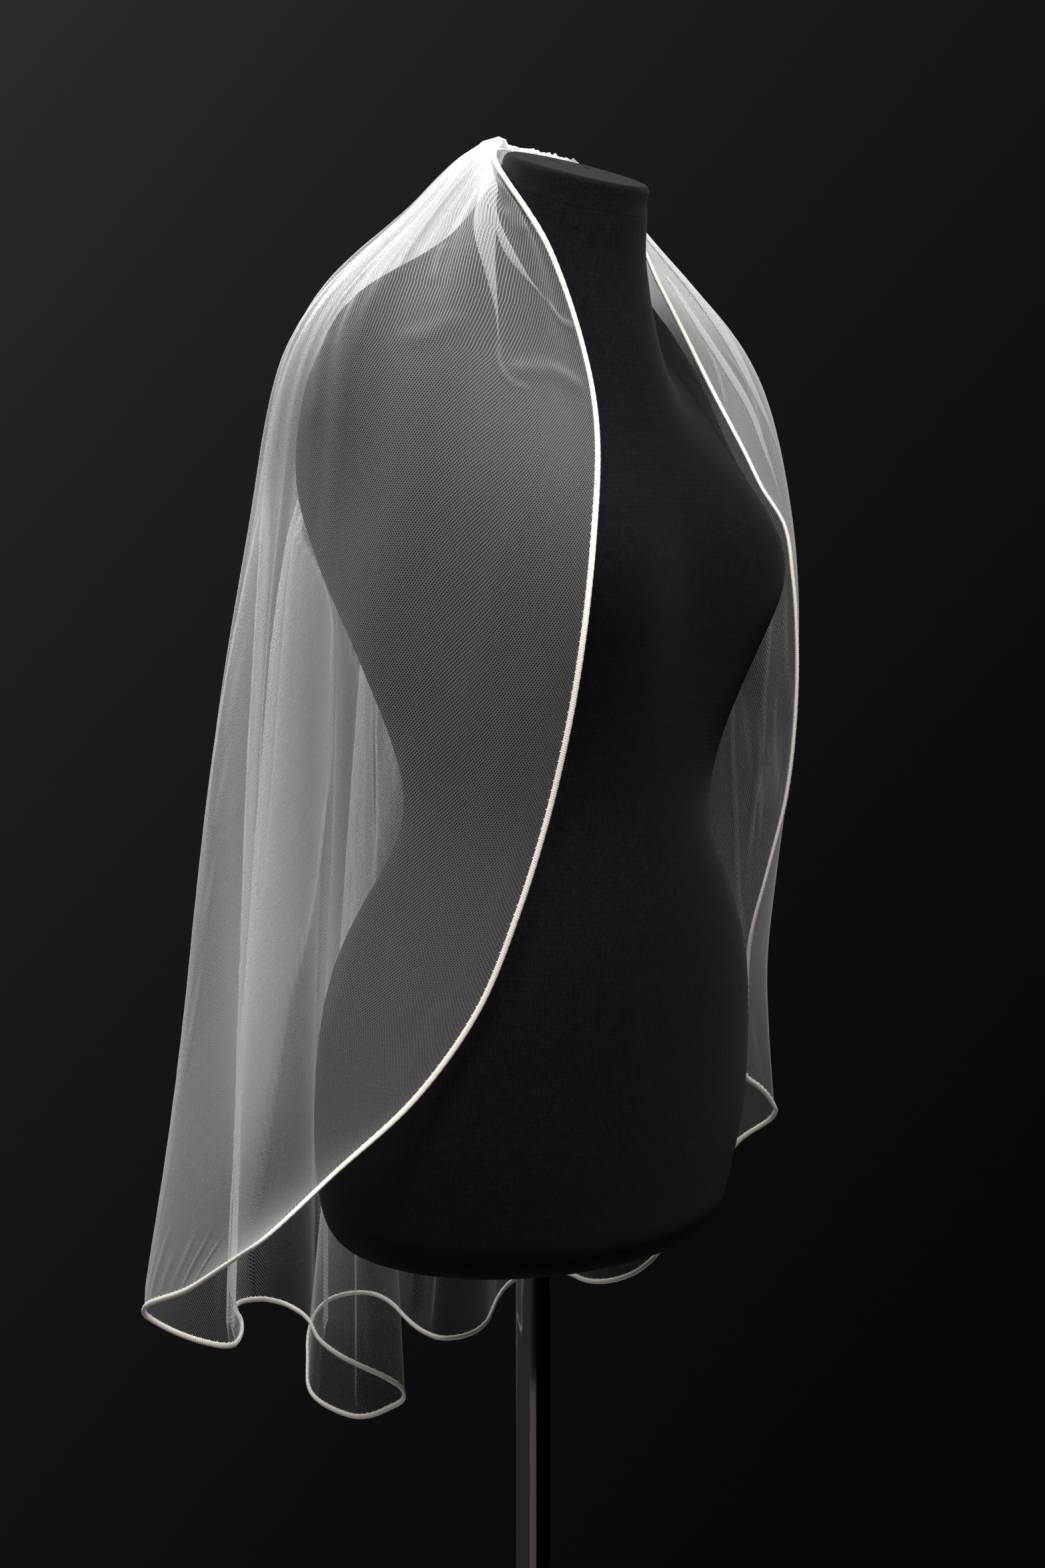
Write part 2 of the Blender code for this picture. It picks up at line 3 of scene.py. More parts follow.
import bmesh
import bpy
import numpy as np
from mathutils import Matrix, Vector, noise
from mathutils.bvhtree import BVHTree


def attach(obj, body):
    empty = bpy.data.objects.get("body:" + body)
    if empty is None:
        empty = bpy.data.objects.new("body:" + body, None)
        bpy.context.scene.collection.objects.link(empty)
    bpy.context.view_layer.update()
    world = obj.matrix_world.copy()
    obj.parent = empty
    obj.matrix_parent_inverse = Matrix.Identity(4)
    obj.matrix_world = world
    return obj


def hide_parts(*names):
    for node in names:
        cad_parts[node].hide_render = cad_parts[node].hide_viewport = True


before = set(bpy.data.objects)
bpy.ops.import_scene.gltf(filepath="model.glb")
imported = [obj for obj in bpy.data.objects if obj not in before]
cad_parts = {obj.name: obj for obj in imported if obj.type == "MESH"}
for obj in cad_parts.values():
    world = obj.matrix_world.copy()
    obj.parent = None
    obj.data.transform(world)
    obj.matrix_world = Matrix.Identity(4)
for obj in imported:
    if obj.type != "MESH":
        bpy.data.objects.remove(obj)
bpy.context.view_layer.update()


def linear(hexColour):
    # sRGB hex to linear light
    parts = [int(hexColour[i:i + 2], 16) / 255 for i in (1, 3, 5)]
    return tuple(p / 12.92 if p <= 0.04045 else ((p + 0.055) / 1.055) ** 2.4 for p in parts) + (1.0,)


def addNode(tree, kind, settings=None, sockets=None):
    # settings: the node's own choices; sockets: values, or the nodes and outputs that feed them
    node = tree.nodes.new(kind)
    for key, value in (settings or {}).items():
        setattr(node, key, value)
    for key, value in (sockets or {}).items():
        if isinstance(value, bpy.types.Node):
            value = [socket for socket in value.outputs if socket.enabled][0]
        if isinstance(value, bpy.types.NodeSocket):
            tree.links.new(value, node.inputs[key])
        else:
            node.inputs[key].default_value = value
    return node


def newMaterial(name):
    made = bpy.data.materials.new(name)
    made.use_nodes = True
    made.node_tree.nodes.clear()
    return made, made.node_tree


def newObject(name, data):
    made = bpy.data.objects.new(name, data)
    bpy.context.scene.collection.objects.link(made)
    return made


def meshPiece(name, points, faces, material, uv=None, smooth=True):
    # uv: one pair for each point
    mesh = bpy.data.meshes.new(name)
    mesh.from_pydata(np.asarray(points, float).tolist(), [], faces)
    if uv is not None:
        layer = mesh.uv_layers.new(name="clothUV")
        corners = np.empty(len(mesh.loops), int)
        mesh.loops.foreach_get("vertex_index", corners)
        layer.data.foreach_set("uv", np.asarray(uv, float)[corners].ravel())
    work = bmesh.new()
    work.from_mesh(mesh)
    bmesh.ops.recalc_face_normals(work, faces=work.faces)
    work.to_mesh(mesh)
    work.free()
    mesh.materials.append(material)
    mesh.polygons.foreach_set("use_smooth", [smooth] * len(mesh.polygons))
    return newObject(name, mesh)


def ringFaces(count, rings):
    # Quads between rings of equal size, with a fan at each end round a middle point
    faces = []
    for i in range(rings - 1):
        for j in range(count):
            a, b = i * count + j, i * count + (j + 1) % count
            faces.append((a, b, b + count, a + count))
    last = (rings - 1) * count
    for j in range(count):
        k = (j + 1) % count
        faces.append((k, j, rings * count))
        faces.append((last + j, last + k, rings * count + 1))
    return faces


def withEnds(rings):
    # All points of the rings, then the middles of the first and the last
    rings = [np.asarray(ring, float) for ring in rings]
    return np.vstack(rings + [rings[0].mean(axis=0)[None], rings[-1].mean(axis=0)[None]])


bandScale = 0.31416         # a wave texture's band repeats each bandScale / its scale

netLook = {
    "meshPitch": 1.7,       # mm; bridal net's holes of about 1.25 mm are too fine to show, so drawn wider
    "threadTurns": (-33, 33),
    "threadColour": "#fdfdfb", "holeColour": "#e9e9e8",
    "cover": 0.067,         # share of light that the threads of one flat layer stop
    "leastFacing": 0.07,    # how far edge on a layer may be seen before its threads are all counted
    "weaveDepth": 3.2,      # how much denser the drawn threads are than the holes
    "weakerThreads": 0.72,  # how strong the mesh's second family of slanted threads is beside the first
    "evenWeave": 0.60,      # the drawn weave's own middle, which leaves the cover as it is
    "threadBump": 0.35,
    "throughLight": 0.45,   # share of the light that the round threads pass on to their other side
}


def bridalNet():
    # Nylon bobbinet, heat-set: each layer stops little of the light seen square on, and more and more
    # where it turns away or where gathers crowd its threads, so it is a haze with bright folds
    made, tree = newMaterial("nylon_bridal_net")
    where = addNode(tree, "ShaderNodeUVMap", {"uv_map": "clothUV"})
    crowd = addNode(tree, "ShaderNodeAttribute", {"attribute_name": "crowd"}).outputs["Fac"]
    threads = []
    for turn in netLook["threadTurns"]:
        turned = addNode(tree, "ShaderNodeMapping", None,
                         {"Rotation": (0, 0, math.radians(turn)), "Vector": where})
        waves = addNode(tree, "ShaderNodeTexWave", {"bands_direction": "X"},
                        {"Scale": bandScale * 1000 / netLook["meshPitch"], "Vector": turned})
        threads.append(waves.outputs["Fac"])
    weaker = addNode(tree, "ShaderNodeMath", {"operation": "MULTIPLY"},
                     {0: threads[1], 1: netLook["weakerThreads"]})
    crossed = addNode(tree, "ShaderNodeMath", {"operation": "MAXIMUM"}, {0: threads[0], 1: weaker})
    facing = addNode(tree, "ShaderNodeLayerWeight", None, {"Blend": 0.5}).outputs["Facing"]
    square = addNode(tree, "ShaderNodeMath", {"operation": "SUBTRACT"}, {0: 1.0, 1: facing})
    square = addNode(tree, "ShaderNodeMath", {"operation": "MAXIMUM"}, {0: square, 1: netLook["leastFacing"]})
    layers = addNode(tree, "ShaderNodeMath", {"operation": "DIVIDE"}, {0: crowd, 1: square})
    opening = addNode(tree, "ShaderNodeMath", {"operation": "POWER"}, {0: 1 - netLook["cover"], 1: layers})
    solid = addNode(tree, "ShaderNodeMath", {"operation": "SUBTRACT"}, {0: 1.0, 1: opening})
    # the weave shows in a single layer and closes up where threads crowd
    depth = addNode(tree, "ShaderNodeMath", {"operation": "DIVIDE"}, {0: netLook["weaveDepth"], 1: crowd})
    ripple = addNode(tree, "ShaderNodeMath", {"operation": "SUBTRACT"}, {0: crossed, 1: netLook["evenWeave"]})
    weave = addNode(tree, "ShaderNodeMath", {"operation": "MULTIPLY_ADD"}, {0: ripple, 1: depth, 2: 1.0})
    cover = addNode(tree, "ShaderNodeMath", {"operation": "MULTIPLY", "use_clamp": True}, {0: solid, 1: weave})
    colour = addNode(tree, "ShaderNodeMix", {"data_type": "RGBA"},
                     {"Factor": crossed, "A": linear(netLook["holeColour"]),
                      "B": linear(netLook["threadColour"])})
    bump = addNode(tree, "ShaderNodeBump", None,
                   {"Strength": netLook["threadBump"], "Distance": 0.0006, "Height": crossed})
    shader = addNode(tree, "ShaderNodeBsdfPrincipled", None,
                     {"Base Color": colour, "Normal": bump, "Roughness": 0.75, "Sheen Weight": 0.3,
                      "Sheen Roughness": 0.4, "Sheen Tint": linear("#ffffff")})
    through = addNode(tree, "ShaderNodeBsdfTranslucent", None, {"Color": colour, "Normal": bump})
    both = addNode(tree, "ShaderNodeMixShader", None, {0: netLook["throughLight"], 1: shader, 2: through})
    clear = addNode(tree, "ShaderNodeBsdfTransparent")
    meshed = addNode(tree, "ShaderNodeMixShader", None, {0: cover, 1: clear, 2: both})
    addNode(tree, "ShaderNodeOutputMaterial", None, {"Surface": meshed})
    return made


def satinCord():
    # Satin-covered cord: a tight polyester satin over a soft core, so a silky highlight with fine ribs across
    made, tree = newMaterial("polyester_satin_cord")
    where = addNode(tree, "ShaderNodeUVMap", {"uv_map": "clothUV"})
    slanted = addNode(tree, "ShaderNodeMapping", None, {"Rotation": (0, 0, math.radians(12)), "Vector": where})
    # 0.8 mm ribs, drawn 1.6 mm apart so that they show
    ribs = addNode(tree, "ShaderNodeTexWave", {"bands_direction": "X"},
                   {"Scale": bandScale / 0.0016, "Distortion": 0.6, "Detail": 1.0,
                    "Vector": slanted}).outputs["Fac"]
    tint = addNode(tree, "ShaderNodeMix", {"data_type": "RGBA"},
                   {"Factor": ribs, "A": linear("#e6dfd0"), "B": linear("#f4efe4")})
    bump = addNode(tree, "ShaderNodeBump", None, {"Strength": 0.25, "Distance": 0.0003, "Height": ribs})
    shader = addNode(tree, "ShaderNodeBsdfPrincipled", None,
                     {"Base Color": tint, "Normal": bump, "Roughness": 0.38, "Sheen Weight": 0.25,
                      "Sheen Roughness": 0.35})
    addNode(tree, "ShaderNodeOutputMaterial", None, {"Surface": shader})
    return made


def blackJersey(name, dark, light, dustAndTopLightColour):
    # Black polyester jersey over foam: matt, a fine even knit with a little pale lint and pilling; the faces
    # that look up are lighter, partly from dust and partly as painted light from above
    made, tree = newMaterial(name)
    where = addNode(tree, "ShaderNodeTexCoord").outputs["Object"]
    stretched = addNode(tree, "ShaderNodeMapping", None, {"Scale": (1.0, 1.0, 0.55), "Vector": where})
    # knit loops of 0.8 mm, drawn about 1.8 mm across so that they show
    loops = addNode(tree, "ShaderNodeTexVoronoi", {"feature": "F1"},
                    {"Scale": 1 / 0.0018, "Randomness": 0.55, "Vector": stretched}).outputs["Distance"]
    lint = addNode(tree, "ShaderNodeTexNoise", None,
                   {"Scale": 95.0, "Detail": 5.0, "Roughness": 0.7, "Vector": where}).outputs["Fac"]
    knit = addNode(tree, "ShaderNodeMath", {"operation": "MULTIPLY", "use_clamp": True}, {0: loops, 1: lint})
    colour = addNode(tree, "ShaderNodeMix", {"data_type": "RGBA"},
                     {"Factor": knit, "A": linear(dark), "B": linear(light)})
    # faces that look up get a lighter tone: dust, and painted light from above
    lie = addNode(tree, "ShaderNodeNewGeometry").outputs["Normal"]
    level = addNode(tree, "ShaderNodeSeparateXYZ", None, {0: lie}).outputs["Z"]
    settled = addNode(tree, "ShaderNodeMapRange", {"interpolation_type": "SMOOTHSTEP"},
                      {"From Min": 0.72, "From Max": 0.95, "Value": level})
    dustAndTopLightMask = addNode(tree, "ShaderNodeMath", {"operation": "MULTIPLY"}, {0: settled, 1: lint})
    colour = addNode(tree, "ShaderNodeMix", {"data_type": "RGBA"},
                     {"Factor": dustAndTopLightMask, "A": colour, "B": linear(dustAndTopLightColour)})
    bump = addNode(tree, "ShaderNodeBump", None, {"Strength": 0.7, "Distance": 0.0004, "Height": knit})
    shader = addNode(tree, "ShaderNodeBsdfPrincipled", None,
                     {"Base Color": colour, "Normal": bump, "Roughness": 0.92, "Sheen Weight": 0.03,
                      "Sheen Roughness": 0.5, "Specular IOR Level": 0.1})
    addNode(tree, "ShaderNodeOutputMaterial", None, {"Surface": shader})
    return made


def chromePlate():
    # Chrome plating, polished: a cool mirror with the faintest haze of handling
    made, tree = newMaterial("polished_chrome_plate")
    where = addNode(tree, "ShaderNodeTexCoord").outputs["Object"]
    haze = addNode(tree, "ShaderNodeTexNoise", None,
                   {"Scale": 14.0, "Detail": 4.0, "Vector": where}).outputs["Fac"]
    rough = addNode(tree, "ShaderNodeMapRange", None, {"To Min": 0.05, "To Max": 0.13, "Value": haze})
    colour = addNode(tree, "ShaderNodeMix", {"data_type": "RGBA"},
                     {"Factor": haze, "A": linear("#c4c8c6"), "B": linear("#d8dad8")})
    shader = addNode(tree, "ShaderNodeBsdfPrincipled", None,
                     {"Base Color": colour, "Roughness": rough, "Metallic": 1.0})
    addNode(tree, "ShaderNodeOutputMaterial", None, {"Surface": shader})
    return made


def clearPlastic():
    # Injection-moulded clear polystyrene: glassy, with a slight cloud from the mould
    made, tree = newMaterial("moulded_clear_polystyrene")
    where = addNode(tree, "ShaderNodeTexCoord").outputs["Object"]
    cloud = addNode(tree, "ShaderNodeTexNoise", None,
                    {"Scale": 160.0, "Detail": 2.0, "Vector": where}).outputs["Fac"]
    colour = addNode(tree, "ShaderNodeMix", {"data_type": "RGBA"},
                     {"Factor": cloud, "A": linear("#e6eaea"), "B": linear("#f7f9f9")})
    shader = addNode(tree, "ShaderNodeBsdfPrincipled", None,
                     {"Base Color": colour, "Roughness": 0.14, "Transmission Weight": 0.75, "IOR": 1.59})
    addNode(tree, "ShaderNodeOutputMaterial", None, {"Surface": shader})
    return made


def sewingThread():
    # Spun polyester thread: matt white with a fuzzy edge
    made, tree = newMaterial("spun_polyester_thread")
    where = addNode(tree, "ShaderNodeTexCoord").outputs["Object"]
    fuzz = addNode(tree, "ShaderNodeTexNoise", None,
                   {"Scale": 900.0, "Detail": 2.0, "Vector": where}).outputs["Fac"]
    colour = addNode(tree, "ShaderNodeMix", {"data_type": "RGBA"},
                     {"Factor": fuzz, "A": linear("#dcdad2"), "B": linear("#f8f7f2")})
    shader = addNode(tree, "ShaderNodeBsdfPrincipled", None,
                     {"Base Color": colour, "Roughness": 0.8, "Sheen Weight": 0.3, "Sheen Roughness": 0.4})
    addNode(tree, "ShaderNodeOutputMaterial", None, {"Surface": shader})
    return made


netCloth, cordSatin = bridalNet(), satinCord()
# the third colour is the tone of the faces that look up: dust, and painted light from above, lightest on the
# cap's top
torsoJersey = blackJersey("black_polyester_jersey", "#010102", "#1a1a1d", "#121214")
capJersey = blackJersey("cap_black_jersey_dust_and_painted_top_light", "#010102", "#1a1a1d", "#1a1a1c")
chrome, plastic, thread = chromePlate(), clearPlastic(), sewingThread()
print("materials made")


def treeOf(mesh):
    return BVHTree.FromPolygons([v.co for v in mesh.vertices], [tuple(p.vertices) for p in mesh.polygons])


formTrees = [treeOf(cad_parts[node].data) for node in ("form_torso", "neck_cap")]

capFacts = {"centre": Vector((0.0, -0.040, 1.455)), "tilt": math.radians(18.0)}
capUp = Vector((0, -math.sin(capFacts["tilt"]), math.cos(capFacts["tilt"])))
capBack = Vector((0, math.cos(capFacts["tilt"]), math.sin(capFacts["tilt"])))


def onCap(angle, radius, up):
    # A point round the neck's tilted axis
    turn = math.radians(angle)
    return (capFacts["centre"] + Vector((1, 0, 0)) * radius * math.cos(turn)
            + capBack * radius * math.sin(turn) + capUp * up)


combFacts = {"radius": 0.0558, "middleAngle": 86.0, "halfAngle": 38.0, "teeth": 15, "barHeight": 0.006,
             "top": -0.001, "thickness": 0.0022, "toothLength": 0.020, "toothLean": 0.22}


netPanel = {
    "columns": 104,          # hanging lines that the cut is worked out on
    "finerAcross": 4, "closerAcross": 7, "closerBands": ((0.0, 0.115), (0.23, 0.45), (0.90, 1.0)),
    "hemSteps": 360, "hemRounding": 14,
    "cutWidth": 1.58, "cutLength": 0.95,
    "tuftDrop": 0.0030, "tuftEnd": (0.10, 0.30), "raggedSeed": 11, "raggedSteps": 64,
    "raggedDepth": 0.45,
    "gapAt": 0.615, "gapWidth": 0.018, "gapDrop": 0.0022,
    "pleats": 17, "pleatHeight": 0.003, "firstPleatHeight": 0.0005,
    "pleatsOpen": (0.14, 0.42),
    "clearance": 0.0018, "cordClearance": 0.0033, "middleSlack": 0.0006, "fineClearance": 0.0012,
    "cordWidth": 0.0036, "cordHeight": 0.0026, "cordFullness": 1.12, "cordStart": 0.015, "cordStep": 0.0022,
    "cordFacets": 12, "plyDepth": 0.05, "plyTurn": 0.012, "seamGap": 0.0004, "wall": 0.0012,
    "wrapTurn": 42, "wrapColumns": 0.15, "hemTakesOver": 0.9, "uvMargin": 0.002,
    "settleTurns": 6, "calmFrom": (0.03, 0.2), "calmTo": (0.55, 0.9), "calmAcross": 0.3, "calmDown": 0.2,
}

# Hanging lines in mm: share of columns, share of hem, then x, y, z at neck, shoulder, bust, waist, thigh, hem
fallRows = (
    (0.00, 0.00, -55, -52, 1408, -55, -99, 1306, -110, -148, 1191, -134, -121, 992,
     -164, -87, 877, -270, 2, 737),
    (0.05, 0.03, -68, -38, 1413, -112, -85, 1330, -158, -122, 1195, -176, -92, 995,
     -203, -52, 868, -264, 43, 715),
    (0.11, 0.07, -88, -2, 1418, -172, -40, 1338, -203, -55, 1200, -220, -25, 1000,
     -236, 15, 855, -246, 110, 679),
    (0.15, 0.095, -88, 20, 1426, -176, 22, 1358, -196, 30, 1200, -210, 62, 1010,
     -222, 90, 858, -240, 140, 665),
    (0.19, 0.118, -80, 44, 1423, -142, 84, 1355, -171, 106, 1200, -190, 137, 1020,
     -200, 149, 860, -220, 164, 654),
    (0.29, 0.22, -50, 60, 1432, -90, 114, 1352, -112, 144, 1200, -121, 167, 1010,
     -130, 180, 835, -140, 190, 620),
    (0.385, 0.33, -25, 74, 1436, -45, 138, 1352, -58, 166, 1200, -62, 186, 1005,
     -65, 200, 825, -68, 215, 592),
    (0.49, 0.45, 0, 76, 1437, 0, 142, 1352, 0, 170, 1200, 0, 192, 1005,
     0, 206, 820, 0, 220, 560),
    (0.59, 0.57, 25, 74, 1436, 50, 138, 1352, 65, 166, 1200, 72, 188, 1005,
     80, 205, 825, 88, 225, 562),
    (0.68, 0.68, 52, 66, 1432, 95, 122, 1352, 120, 150, 1200, 132, 170, 1010,
     142, 185, 835, 155, 205, 575),
    (0.78, 0.785, 78, 50, 1427, 140, 92, 1352, 165, 112, 1200, 182, 132, 1010,
     195, 142, 850, 219, 158, 600),
    (0.835, 0.85, 90, 30, 1424, 166, 58, 1351, 190, 68, 1200, 203, 90, 1010,
     214, 98, 850, 232, 76, 625),
    (0.89, 0.91, 96, 2, 1419, 184, 6, 1344, 207, 3, 1200, 216, 20, 1010,
     228, 35, 855, 255, 34, 695),
    (0.95, 0.952, 90, -31, 1410, 187, -60, 1322, 203, -81, 1200, 202, -64, 1005,
     216, -37, 865, 261, -12, 738),
    (1.00, 1.00, 54, -55, 1404, 90, -81, 1320, 119, -133, 1191, 151, -111, 1008,
     167, -69, 904, 211, -32, 790),
)

# Hem seen from above in mm, near corner first: x, y, height
hemRows = (
    (-270, 2, 737), (-254, 82, 694), (-222, 164, 652), (-212, 141, 642), (-184, 127, 631),
    (-151, 150, 625), (-105, 197, 622), (-68, 245, 618), (-30, 266, 612), (0, 268, 605),
    (0, 236, 597), (-24, 200, 591), (-27, 165, 582), (-5, 137, 567), (8, 131, 556),
    (8, 148, 544), (3, 170, 531), (12, 217, 524), (29, 266, 527), (58, 297, 539),
    (85, 324, 557), (118, 336, 573), (141, 314, 578), (136, 281, 576), (116, 236, 569),
    (112, 196, 564), (140, 184, 568), (184, 204, 585), (213, 210, 595), (224, 172, 604),
    (204, 118, 607), (212, 88, 615), (233, 77, 630), (250, 73, 653), (254, 32, 702),
    (251, 10, 731), (260, -6, 742), (264, -18, 750), (248, -27, 768), (211, -32, 790),
)

# Where a line leaves the comb's ends, in degrees and metres
gatherLook = {"seamLift": 0.0003, "endTurn": 1.5, "nearShare": 0.4, "over": 0.012, "overRise": 0.6,
              "overSink": 0.005, "collarShare": 0.33, "collarRise": 0.005, "wrapOver": 0.010,
              "wrapDrop": 0.015}
combEnds = {"near": {"turn": 6, "drawIn": 0.009, "puff": 0.008, "riseOut": -0.002},
            "far": {"turn": 12, "drawIn": 0.004, "puff": 0.003, "riseOut": 0.004}}

# Long soft folds: share of columns at the top and at the bottom, start and end along the line,
# half width in the cut's columns, height out of the net in mm
softFolds = (
    (0.030, 0.045, 0.04, 0.46, 1.6, 4.0),
    (0.075, 0.105, 0.05, 0.52, 1.8, 4.5),
    (0.140, 0.150, 0.06, 0.80, 2.2, -5.0),
    (0.235, 0.240, 0.08, 0.85, 2.4, 6.0),
    (0.305, 0.320, 0.08, 0.80, 2.2, -6.0),
    (0.370, 0.372, 0.08, 0.85, 2.4, 6.0),
    (0.440, 0.430, 0.08, 0.80, 2.2, -6.0),
    (0.520, 0.525, 0.08, 0.85, 2.4, 6.0),
    (0.600, 0.610, 0.08, 0.80, 2.2, -6.0),
    (0.665, 0.670, 0.08, 0.85, 2.4, 6.0),
    (0.740, 0.735, 0.08, 0.80, 2.2, -6.0),
    (0.820, 0.825, 0.06, 0.80, 2.4, 5.0),
    (0.915, 0.905, 0.05, 0.70, 2.0, -4.5),
)

rowShares = (0.0, 0.006, 0.014, 0.028, 0.048, 0.075, 0.105, 0.135, 0.165, 0.195, 0.225, 0.255,
             0.285, 0.315, 0.345, 0.38, 0.42, 0.47, 0.53, 0.60, 0.68, 0.76, 0.84, 0.92, 1.0)


def smoothAt(xs, table, at):
    # Smooth values of every column of the table at the places asked for
    xs, table, at = np.asarray(xs, float), np.asarray(table, float), np.atleast_1d(np.asarray(at, float))
    gap = np.diff(xs)[:, None]
    rise = np.diff(table, axis=0) / gap
    slope = np.zeros_like(table)
    slope[1:-1] = (rise[1:] * gap[:-1] + rise[:-1] * gap[1:]) / (gap[1:] + gap[:-1])
    slope[0], slope[-1] = rise[0], rise[-1]
    i = np.clip(np.searchsorted(xs, at, side="right") - 1, 0, len(xs) - 2)
    h = (xs[i + 1] - xs[i])[:, None]
    t = ((at - xs[i]) / h[:, 0])[:, None]
    return ((2 * t ** 3 - 3 * t ** 2 + 1) * table[i] + (t ** 3 - 2 * t ** 2 + t) * h * slope[i]
            + (-2 * t ** 3 + 3 * t ** 2) * table[i + 1] + (t ** 3 - t ** 2) * h * slope[i + 1])


def fade(value, low, high):
    t = np.clip((value - low) / (high - low), 0.0, 1.0)
    return t * t * (3 - 2 * t)


def evened(values):
    # Each row but the outer two becomes half itself and a quarter of both neighbours
    values[1:-1] = (values[:-2] + 2 * values[1:-1] + values[2:]) / 4


def unit(arrows):
    return arrows / np.maximum(np.linalg.norm(arrows, axis=-1, keepdims=True), 1e-12)


def walked(points):
    # Metres along a line at each of its points
    return np.concatenate([[0], np.cumsum(np.linalg.norm(np.diff(points, axis=0), axis=1))])


def fromSides(c, low, high):
    # Nothing at the net's two front edges, one further in
    return fade(np.minimum(c, 1 - c), low, high)


def netNormals(grid, calmRows=4):
    # Directions square to the net, evened out in the first rows, where the gathers stand close
    normal = unit(np.cross(np.gradient(grid, axis=0), np.gradient(grid, axis=1)))
    for _ in range(3):
        evened(normal[:, :calmRows])
    return unit(normal)


def shortfall(point, clear):
    # The move that takes a point to the given distance from the form, or nothing
    move = Vector((0, 0, 0))
    for tree in formTrees:
        spot, facing, _, far = tree.find_nearest(Vector(point))
        away = Vector(point) - spot
        if away.dot(facing) < -0.5 * far:
            move += facing * (clear + far)
        elif far < clear:
            move += away.normalized() * (clear - far)
    return np.array(move)


def keepOff(grid, clear):
    # Points that are nearer to the form than their line may be move out of it
    for i, j in np.ndindex(grid.shape[:2]):
        if j:
            grid[i, j] += shortfall(grid[i, j], clear[i])
    return grid


def pushClear(grid, clear):
    # The same, and then the middles of the steps between points
    count, rows = keepOff(grid, clear).shape[:2]
    for di, dj in ((0, 1), (1, 0), (1, 1), (1, -1)):
        for i in range(count - di):
            for j in range(max(1, 1 - dj), rows - max(dj, 0)):
                need = (clear[i] + clear[i + di]) / 2 - netPanel["middleSlack"]
                move = shortfall((grid[i, j] + grid[i + di, j + dj]) / 2, need)
                grid[i, j] += move
                grid[i + di, j + dj] += move
    return grid


def gatherKnots(c, neck):
    # The top of a hanging line: sewn to the comb, raised from it, bent over and laid on the neck
    near, far = combEnds["near"], combEnds["far"]
    end = near if c < 0.5 else far
    nearness = 1 - float(fade(c, 0.0, gatherLook["nearShare"]))
    puff, riseOut = [far[key] + (near[key] - far[key]) * nearness for key in ("puff", "riseOut")]
    beside = max(1 - min(c, 1 - c) / netPanel["wrapColumns"], 0.0)
    swing = beside if c < 0.5 else -beside
    angle = combFacts["middleAngle"] + (combFacts["halfAngle"] - gatherLook["endTurn"]) * (1 - 2 * c)
    start = combFacts["top"] + netPanel["wall"] / 2 + netPanel["seamGap"] + gatherLook["seamLift"]

    def knot(turn, out, up):
        return np.array(onCap(angle + turn, combFacts["radius"] + out, up))

    over = knot(end["turn"] * swing, gatherLook["over"] - end["drawIn"] * beside,
                start + puff * gatherLook["overRise"] - gatherLook["overSink"] * beside)
    collar = over + (neck - over) * gatherLook["collarShare"] + np.array((0, 0, gatherLook["collarRise"]))
    wrapped = knot(netPanel["wrapTurn"] * swing, gatherLook["wrapOver"] - end["drawIn"] * beside,
                   -gatherLook["wrapDrop"])
    return [knot(0, 0, start), knot(0, riseOut, start + puff), over, collar * (1 - beside) + wrapped * beside]


def roundedHem():
    # The hem's curve as even steps, its turns rounded as stiff net rounds them
    hem = np.array(hemRows) / 1000
    along = walked(hem)
    steps = np.linspace(0, 1, netPanel["hemSteps"] + 1)
    curve = smoothAt(along / along[-1], hem, steps)
    for _ in range(netPanel["hemRounding"]):
        evened(curve)
    return steps, curve


def hangingNet():
    # Each line of the net follows the table, and takes up the hem's folds below the shoulder
    table, shares = np.array(fallRows), np.array(rowShares)
    hemSteps, hem = roundedHem()
    grid = np.zeros((netPanel["columns"], len(shares), 3))
    for i in range(netPanel["columns"]):
        c = i / (netPanel["columns"] - 1)
        alongHem = float(np.clip(smoothAt(table[:, 0], table[:, 1:2], c)[0, 0], 0, 1))
        level = smoothAt(table[:, 0], table[:, 2:] / 1000, c)[0].reshape(6, 3)
        knots = np.vstack(gatherKnots(c, level[0]) + [level])
        steps = walked(knots)
        shoulder = steps[5] / steps[-1]
        reach = np.maximum((shares - shoulder) / (1 - shoulder), 0.0) ** netPanel["hemTakesOver"]
        extra = smoothAt(hemSteps, hem, alongHem)[0] - level[5]
        grid[i] = smoothAt(steps / steps[-1], knots, shares) + extra * reach[:, None]
    return grid


def settle(grid, clear):
    # Pushed off the form and calmed in turns, so that it lies on the shoulders without dents
    shares = np.array(rowShares)
    calming = fade(shares, *netPanel["calmFrom"]) * (1 - fade(shares, *netPanel["calmTo"]))
    for _ in range(netPanel["settleTurns"]):
        pushClear(grid, clear)
        calm = grid.copy()
        inner = grid[1:-1, 1:-1]
        calm[1:-1, 1:-1] += netPanel["calmAcross"] * ((grid[:-2, 1:-1] + grid[2:, 1:-1]) / 2 - inner)
        calm[1:-1, 1:-1] += netPanel["calmDown"] * ((grid[1:-1, :-2] + grid[1:-1, 2:]) / 2 - inner)
        grid += (calm - grid) * calming[None, :, None]
    return grid


def foldHeights(cs, shares, spread):
    # Heights out of the net: the gathers' pleats and the long folds of the table
    c, s = cs[:, None], shares[None, :]
    first = netPanel["firstPleatHeight"]
    size = first + (netPanel["pleatHeight"] - first) * fade(s, 0.0, 0.06)
    size = size * (1 - fade(s, *netPanel["pleatsOpen"]))
    size = np.minimum(size, np.minimum(0.75 * spread, spread ** 2 / 0.0011))
    height = size * fromSides(c, 0.0, 0.05) * np.sin(2 * math.pi * netPanel["pleats"] * c)
    for top, low, begin, end, width, rise in softFolds:
        part = np.clip((s - begin) / (end - begin), 0, 1)
        off = (c - (top + (low - top) * part)) * (netPanel["columns"] - 1) / width
        height = height + np.exp(-off * off) * np.sin(math.pi * part) * rise / 1000
    return height


